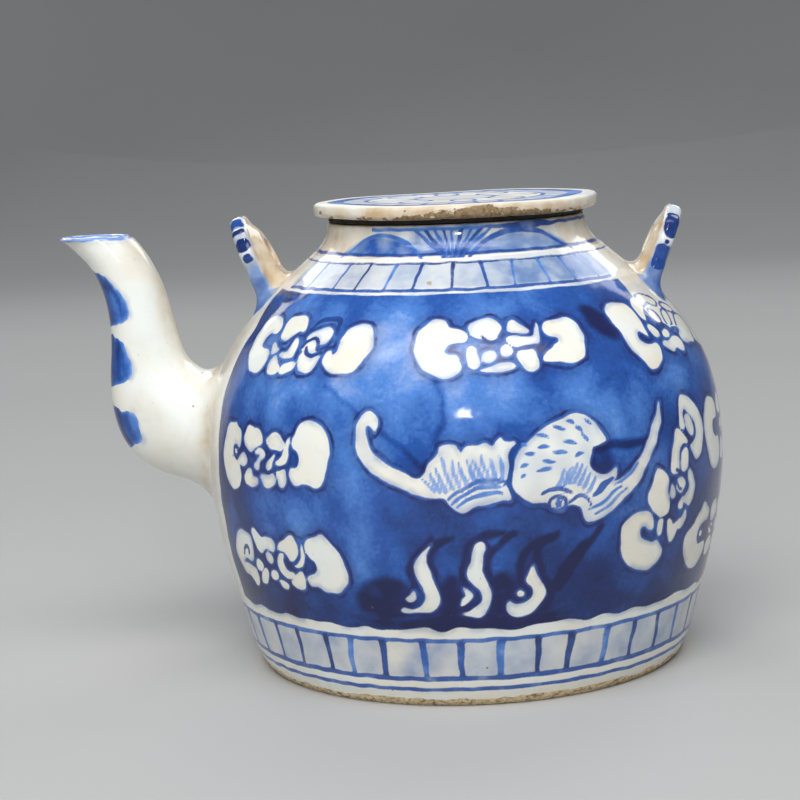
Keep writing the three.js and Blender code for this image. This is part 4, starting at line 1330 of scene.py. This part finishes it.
class Shader:
    """Builds one material: each call adds a node and returns the socket that matters."""

    def __init__(self, name, ior=1.5):
        self.material = bpy.data.materials.new(name)
        self.material.use_nodes = True
        self.tree = self.material.node_tree
        self.tree.nodes.clear()
        output = self.tree.nodes.new("ShaderNodeOutputMaterial")
        self.surface = self.node("ShaderNodeBsdfPrincipled", {"IOR": ior})
        self.tree.links.new(self.surface.outputs["BSDF"], output.inputs["Surface"])
        self.place = self.node("ShaderNodeTexCoord", {}).outputs["Object"]

    def node(self, kind, sockets, **settings):
        node = self.tree.nodes.new(kind)
        for key, value in settings.items():
            setattr(node, key, value)
        for key, value in sockets.items():
            self.join(node.inputs[key], value)
        return node

    def join(self, socket, value):
        if isinstance(value, bpy.types.NodeSocket):
            self.tree.links.new(value, socket)
        else:
            socket.default_value = value

    def finished(self, **sockets):
        """The material, with what goes into its surface: Base_Color, Roughness and Normal."""
        for name, value in sockets.items():
            self.join(self.surface.inputs[name.replace("_", " ")], value)
        return self.material

    def field(self, name):
        """What is painted on a piece, from its vertices."""
        return self.node("ShaderNodeAttribute", {}, attribute_name=name).outputs["Fac"]

    def noise(self, wavelength, detail=2.0, roughness=0.5, distortion=0.0):
        """Noise with features about as large as wavelength, in millimetres."""
        return self.node("ShaderNodeTexNoise", {
            "Vector": self.place, "Scale": 1 / (wavelength * MM), "Detail": detail,
            "Roughness": roughness, "Distortion": distortion,
        }).outputs["Fac"]

    def dots(self, spacing, outer, inner):
        """Scattered dots that fade in from an outer to an inner size, in parts of the spacing."""
        cells = self.node("ShaderNodeTexVoronoi", {
            "Vector": self.place, "Scale": 1 / (spacing * MM),
        })
        return self.step(cells.outputs["Distance"], outer, inner)

    def math(self, operation, a, b, clamp=False):
        return self.node("ShaderNodeMath", {0: a, 1: b}, operation=operation,
                         use_clamp=clamp).outputs[0]

    def times(self, a, b, clamp=False):
        return self.math("MULTIPLY", a, b, clamp)

    def plus(self, a, b):
        return self.math("ADD", a, b)

    def swing(self, noise, amount):
        """Noise moved to swing about zero, and made larger or smaller."""
        return self.times(self.math("SUBTRACT", noise, 0.5), amount)

    def step(self, value, low, high, to_low=0.0, to_high=1.0):
        return self.node("ShaderNodeMapRange", {
            "Value": value, "From Min": low, "From Max": high, "To Min": to_low,
            "To Max": to_high,
        }, interpolation_type="SMOOTHSTEP").outputs[0]

    def mix(self, factor, a, b):
        node = self.node("ShaderNodeMix", {0: factor}, data_type="RGBA")
        for socket, value in ((node.inputs[6], a), (node.inputs[7], b)):
            self.join(socket, value if isinstance(value, bpy.types.NodeSocket) else (*value, 1))
        return node.outputs[2]

    def coats(self, colour, *coats):
        """A colour under coats of others: (how much of it shows, what colour)."""
        for factor, coat in coats:
            colour = self.mix(factor, colour, coat)
        return colour

    def ramp(self, value, stops):
        node = self.node("ShaderNodeValToRGB", {"Fac": value})
        elements = node.color_ramp.elements
        while len(elements) < len(stops):
            elements.new(0.5)
        for element, (place, colour) in zip(elements, stops):
            element.position = place
            element.color = (*colour, 1)
        return node.outputs["Color"]

    def bump(self, height, strength, distance, normal=None):
        """distance in millimetres"""
        sockets = {"Height": height, "Strength": strength, "Distance": distance * MM}
        if normal is not None:
            sockets["Normal"] = normal
        return self.node("ShaderNodeBump", sockets).outputs["Normal"]


WHITE = (0.78, 0.81, 0.77)
CREAM = (0.80, 0.78, 0.69)
BEIGE = (0.52, 0.38, 0.22)
IRON = (0.15, 0.085, 0.035)
CLAY = (0.74, 0.59, 0.37)
BLUE_BLACK = (0.011, 0.016, 0.075)
NAVY = (0.013, 0.034, 0.15)
COBALT = (0.022, 0.088, 0.35)
BRIGHT_COBALT = (0.08, 0.213, 0.57)
OUTLINE_BLUE = (0.026, 0.026, 0.15)
THIN_COBALT = (0.25, 0.37, 0.67)
WASH_BLUE = (0.19, 0.28, 0.47)


def white_glaze(s, broad, middle):
    """Greenish white, with tea, grime, and blue that bled from the ground or was washed over."""
    stain = s.times(s.field("stain"), s.step(middle, 0.25, 0.75, 0.55, 1.2))
    grime = s.times(s.step(s.noise(6, 4, 0.6), 0.52, 0.75), 0.14)
    bleed = s.times(s.step(s.field("ground"), 2.0, 0.1),
                    s.step(s.noise(10, 3), 0.44, 0.62, 0.03, 0.5))
    wash = s.times(s.field("wash"), s.step(middle, 0.3, 0.75, 0.7, 1.1))
    return s.coats(
        s.mix(s.step(broad, 0.35, 0.65), WHITE, CREAM),
        (s.times(stain, 0.85, clamp=True), BEIGE),
        (grime, BEIGE),
        (bleed, WASH_BLUE),
        (s.math("MINIMUM", wash, 1.0), WASH_BLUE),
        (s.math("SUBTRACT", wash, 1.0, clamp=True), COBALT),
    )


def brushed_blue(s, broad, middle, fine, wobble):
    """The ground, with dark outlines and thin pale margins round what is left white in it."""
    tone = s.plus(s.field("tone"), s.swing(s.noise(12, 4, 0.55, 0.8), 0.55))
    blue = s.ramp(s.plus(tone, s.swing(fine, 0.26)), [
        (0.0, BLUE_BLACK), (0.24, NAVY), (0.52, COBALT), (0.78, BRIGHT_COBALT), (1.0, THIN_COBALT),
    ])
    patches = s.noise(8, 2)
    halo = s.plus(s.plus(s.field("halo"), wobble), s.swing(patches, 1.6))
    outline = s.times(s.times(s.step(halo, 0.2, 0.8), s.step(halo, 2.1, 1.2)),
                      s.step(middle, 0.3, 0.65, 0.3, 0.92))
    shade = s.times(s.step(halo, 5, 1), 0.26)
    margin = s.times(s.step(halo, 0.85, 0.2), s.step(middle, 0.7, 0.35, 0.15, 0.7))
    return s.coats(
        blue,
        (s.math("MAXIMUM", outline, shade), s.mix(broad, OUTLINE_BLUE, BLUE_BLACK)),
        (margin, s.mix(patches, COBALT, BRIGHT_COBALT)),
    )


def brushed_lines(s, middle, wobble):
    """How much of the lines shows, and their blue."""
    blue = s.ramp(s.plus(s.field("depth"), s.swing(middle, 0.5)), [
        (0.0, THIN_COBALT), (0.35, BRIGHT_COBALT), (0.6, COBALT), (0.9, NAVY),
    ])
    line = s.step(s.plus(s.field("lines"), wobble), 0.3, -0.12)
    return s.times(line, s.step(middle, 0.15, 0.5, 0.72, 0.97)), blue


def glaze_material():
    """Underglaze blue, iron stains and bare clay under one clear glaze, from the fields."""
    s = Shader("painted_glaze", 1.44)
    broad, middle, fine = s.noise(22, 3), s.noise(5, 3), s.noise(1.3, 3, 0.6)
    wobble = s.swing(fine, 0.32)
    ground = s.step(s.plus(s.field("ground"), wobble), 0.22, -0.22)
    specks = s.times(s.dots(9, 0.05, 0.028), s.step(s.noise(30, 1), 0.46, 0.55))
    pinholes = s.times(s.dots(3.3, 0.075, 0.035), s.step(s.noise(14, 3), 0.47, 0.6))
    clay = s.coats(CLAY, (s.times(s.field("stain"), 0.78), IRON), (s.step(fine, 0.4, 0.75), IRON))
    bare = s.step(s.plus(s.field("iron"), s.swing(s.noise(0.9, 3, 0.7), 1.2)), 0.42, 0.62)
    colour = s.coats(
        white_glaze(s, broad, middle),
        (ground, brushed_blue(s, broad, middle, fine, wobble)),
        brushed_lines(s, middle, wobble),
        (s.times(specks, 0.75), IRON),
        (s.times(pinholes, 0.5), IRON),
        (bare, clay),
    )
    # Where there is a trace of iron the glaze is only worn.
    gloss = s.step(s.noise(7, 3), 0.3, 0.8, 0.07, 0.17)
    worn = s.plus(s.step(s.field("iron"), 0.05, 0.2, 0.0, 0.45), s.times(bare, 0.35))
    peel = s.bump(s.noise(2.2, 2), 0.16, 0.18)
    waves = s.bump(s.noise(14, 2), 0.5, 0.45, peel)
    grit = s.bump(s.times(fine, bare), 0.8, 0.6, waves)
    return s.finished(Base_Color=colour, Roughness=s.math("MAXIMUM", gloss, worn), Normal=grit)


def clay_material(name, light, dark):
    """Bare fired clay, gritty and matt, with darker tea in patches."""
    s = Shader(name, 1.45)
    patches, grain = s.noise(8, 4, 0.6), s.noise(0.8, 3, 0.7)
    colour = s.mix(s.step(patches, 0.35, 0.7), light, dark)
    return s.finished(
        Base_Color=s.mix(s.times(s.step(grain, 0.5, 0.75), 0.5), colour, dark),
        Roughness=s.step(patches, 0.3, 0.7, 0.72, 0.95),
        Normal=s.bump(s.noise(3, 2), 0.5, 0.4, s.bump(grain, 0.7, 0.35)),
    )


def floor_material():
    s = Shader("studio_paper")
    colour = s.mix(s.noise(380, 2), (0.42, 0.42, 0.41), (0.47, 0.47, 0.46))
    return s.finished(Base_Color=colour, Roughness=0.85)


# ---------------- studio


def studio():
    """A pale round sweep of paper: flat under the pot, and curving up far away all round."""
    flat, curve, top, columns = 1500, 900, 1400, 96
    outline = [(radius, 0.0) for radius in np.linspace(50, flat, 14)]
    outline += [*bend(flat, curve, curve, -84, -4, 14), (flat + curve + 2, top)]
    points, _ = turned([(0, 0.0), *outline, (0, top + 1)], columns)
    middle = len(points) - 2
    faces = ring_faces(len(outline), columns)
    faces += [(middle, (i + 1) % columns, i) for i in range(columns)]
    sweep = add_mesh("studio_sweep", points[:-1] * MM, faces)
    sweep.data.materials.append(floor_material())


def softbox(name, azimuth, elevation, distance, width, height, power, mirrored=True, lights=True):
    """An area light aimed at the pot. Azimuth 0 is in front, and 90 is towards +X."""
    light = bpy.data.lights.new(name, "AREA")
    light.shape = "RECTANGLE"
    light.size, light.size_y = width, height
    light.energy = power
    lamp = bpy.data.objects.new(name, light)
    bpy.context.scene.collection.objects.link(lamp)
    a, e = math.radians(azimuth), math.radians(elevation)
    target = Vector((AXIS_X * MM, 0, 0.08))
    back = Vector((math.sin(a) * math.cos(e), -math.cos(a) * math.cos(e), math.sin(e)))
    lamp.location = target + back * distance
    lamp.rotation_mode = "QUATERNION"
    lamp.rotation_quaternion = back.to_track_quat("Z", "Y")
    lamp.visible_camera = False
    lamp.visible_glossy = mirrored
    lamp.visible_diffuse = lights


def lights():
    """Boxes of soft light in front, above and behind, and a faint light from all round."""
    softbox("overhead", 6, 60, 1.1, 0.56, 0.34, 2.6)
    softbox("overhead_soft", 6, 60, 1.12, 0.9, 0.6, 3.2)
    softbox("window_left", -44, 60, 1.2, 0.16, 0.4, 1.2)
    softbox("window_right", 50, 57, 1.2, 0.3, 0.34, 1.0)
    softbox("front", 4, 23, 1.5, 0.1, 0.15, 2.2)
    softbox("front_fill", -8, 36, 1.3, 0.8, 0.8, 9, mirrored=False)
    softbox("left_fill", -70, 25, 1.5, 0.7, 0.9, 1.6, mirrored=False)
    softbox("right_fill", 85, 30, 1.6, 0.5, 0.8, 0.7, mirrored=False)
    softbox("far_low", 182, 5, 1.9, 1.1, 0.34, 0.42, lights=False)
    softbox("back_left", -150, 35, 1.6, 0.7, 0.7, 5)
    softbox("back_right", 150, 35, 1.6, 0.7, 0.7, 5)
    world = bpy.data.worlds.new("studio_air")
    world.use_nodes = True
    air = world.node_tree.nodes["Background"].inputs
    air["Color"].default_value = (0.8, 0.86, 1, 1)
    air["Strength"].default_value = 0.22
    bpy.context.scene.world = world
    bpy.context.scene.view_settings.view_transform = "Standard"


def camera():
    """Stands in front of the pot, a little to the right, looking slightly down at it."""
    distance, height, lens = 638, 174.8, 91.5
    azimuth, tilt, pan, roll = (math.radians(d) for d in (2.5, 8.37, -1.79, 2.58))
    forward = Vector((math.sin(pan) * math.cos(tilt), math.cos(pan) * math.cos(tilt),
                      -math.sin(tilt)))
    level = Vector((math.cos(pan), -math.sin(pan), 0))
    upright = level.cross(forward)
    right = level * math.cos(roll) - upright * math.sin(roll)
    up = level * math.sin(roll) + upright * math.cos(roll)
    axes = Matrix((right, up, -forward)).transposed().to_4x4()
    turn = Matrix.Rotation(azimuth, 4, "Z")
    place = turn @ Vector((0, -distance, height))
    data = bpy.data.cameras.new("camera")
    data.lens = lens
    view = bpy.data.objects.new("camera", data)
    bpy.context.scene.collection.objects.link(view)
    view.matrix_world = Matrix.Translation((place + Vector((AXIS_X, 0, 0))) * MM) @ turn @ axes
    bpy.context.scene.camera = view


# ---------------- everything together

camera()
studio()
lights()

glaze = glaze_material()
for build in (body_lower, body_upper, foot_ring, neck_collar, spout, lid_plate):
    build().data.materials.append(glaze)
lug("lug_front_glazed", "lug_front", -1).data.materials.append(glaze)
lug("lug_rear_glazed", "lug_rear", 1).data.materials.append(glaze)
# Near-black: dark clay, with the shade of the gap under the lid painted in.
seat_clay_and_shade = clay_material("seat_clay_and_painted_shade", (0.03, 0.024, 0.02), (0.012, 0.01, 0.009))
lid_seat_ring().data.materials.append(seat_clay_and_shade)
pale_clay = clay_material("flange_clay", (0.42, 0.30, 0.17), (0.2, 0.12, 0.06))
lid_flange().data.materials.append(pale_clay)
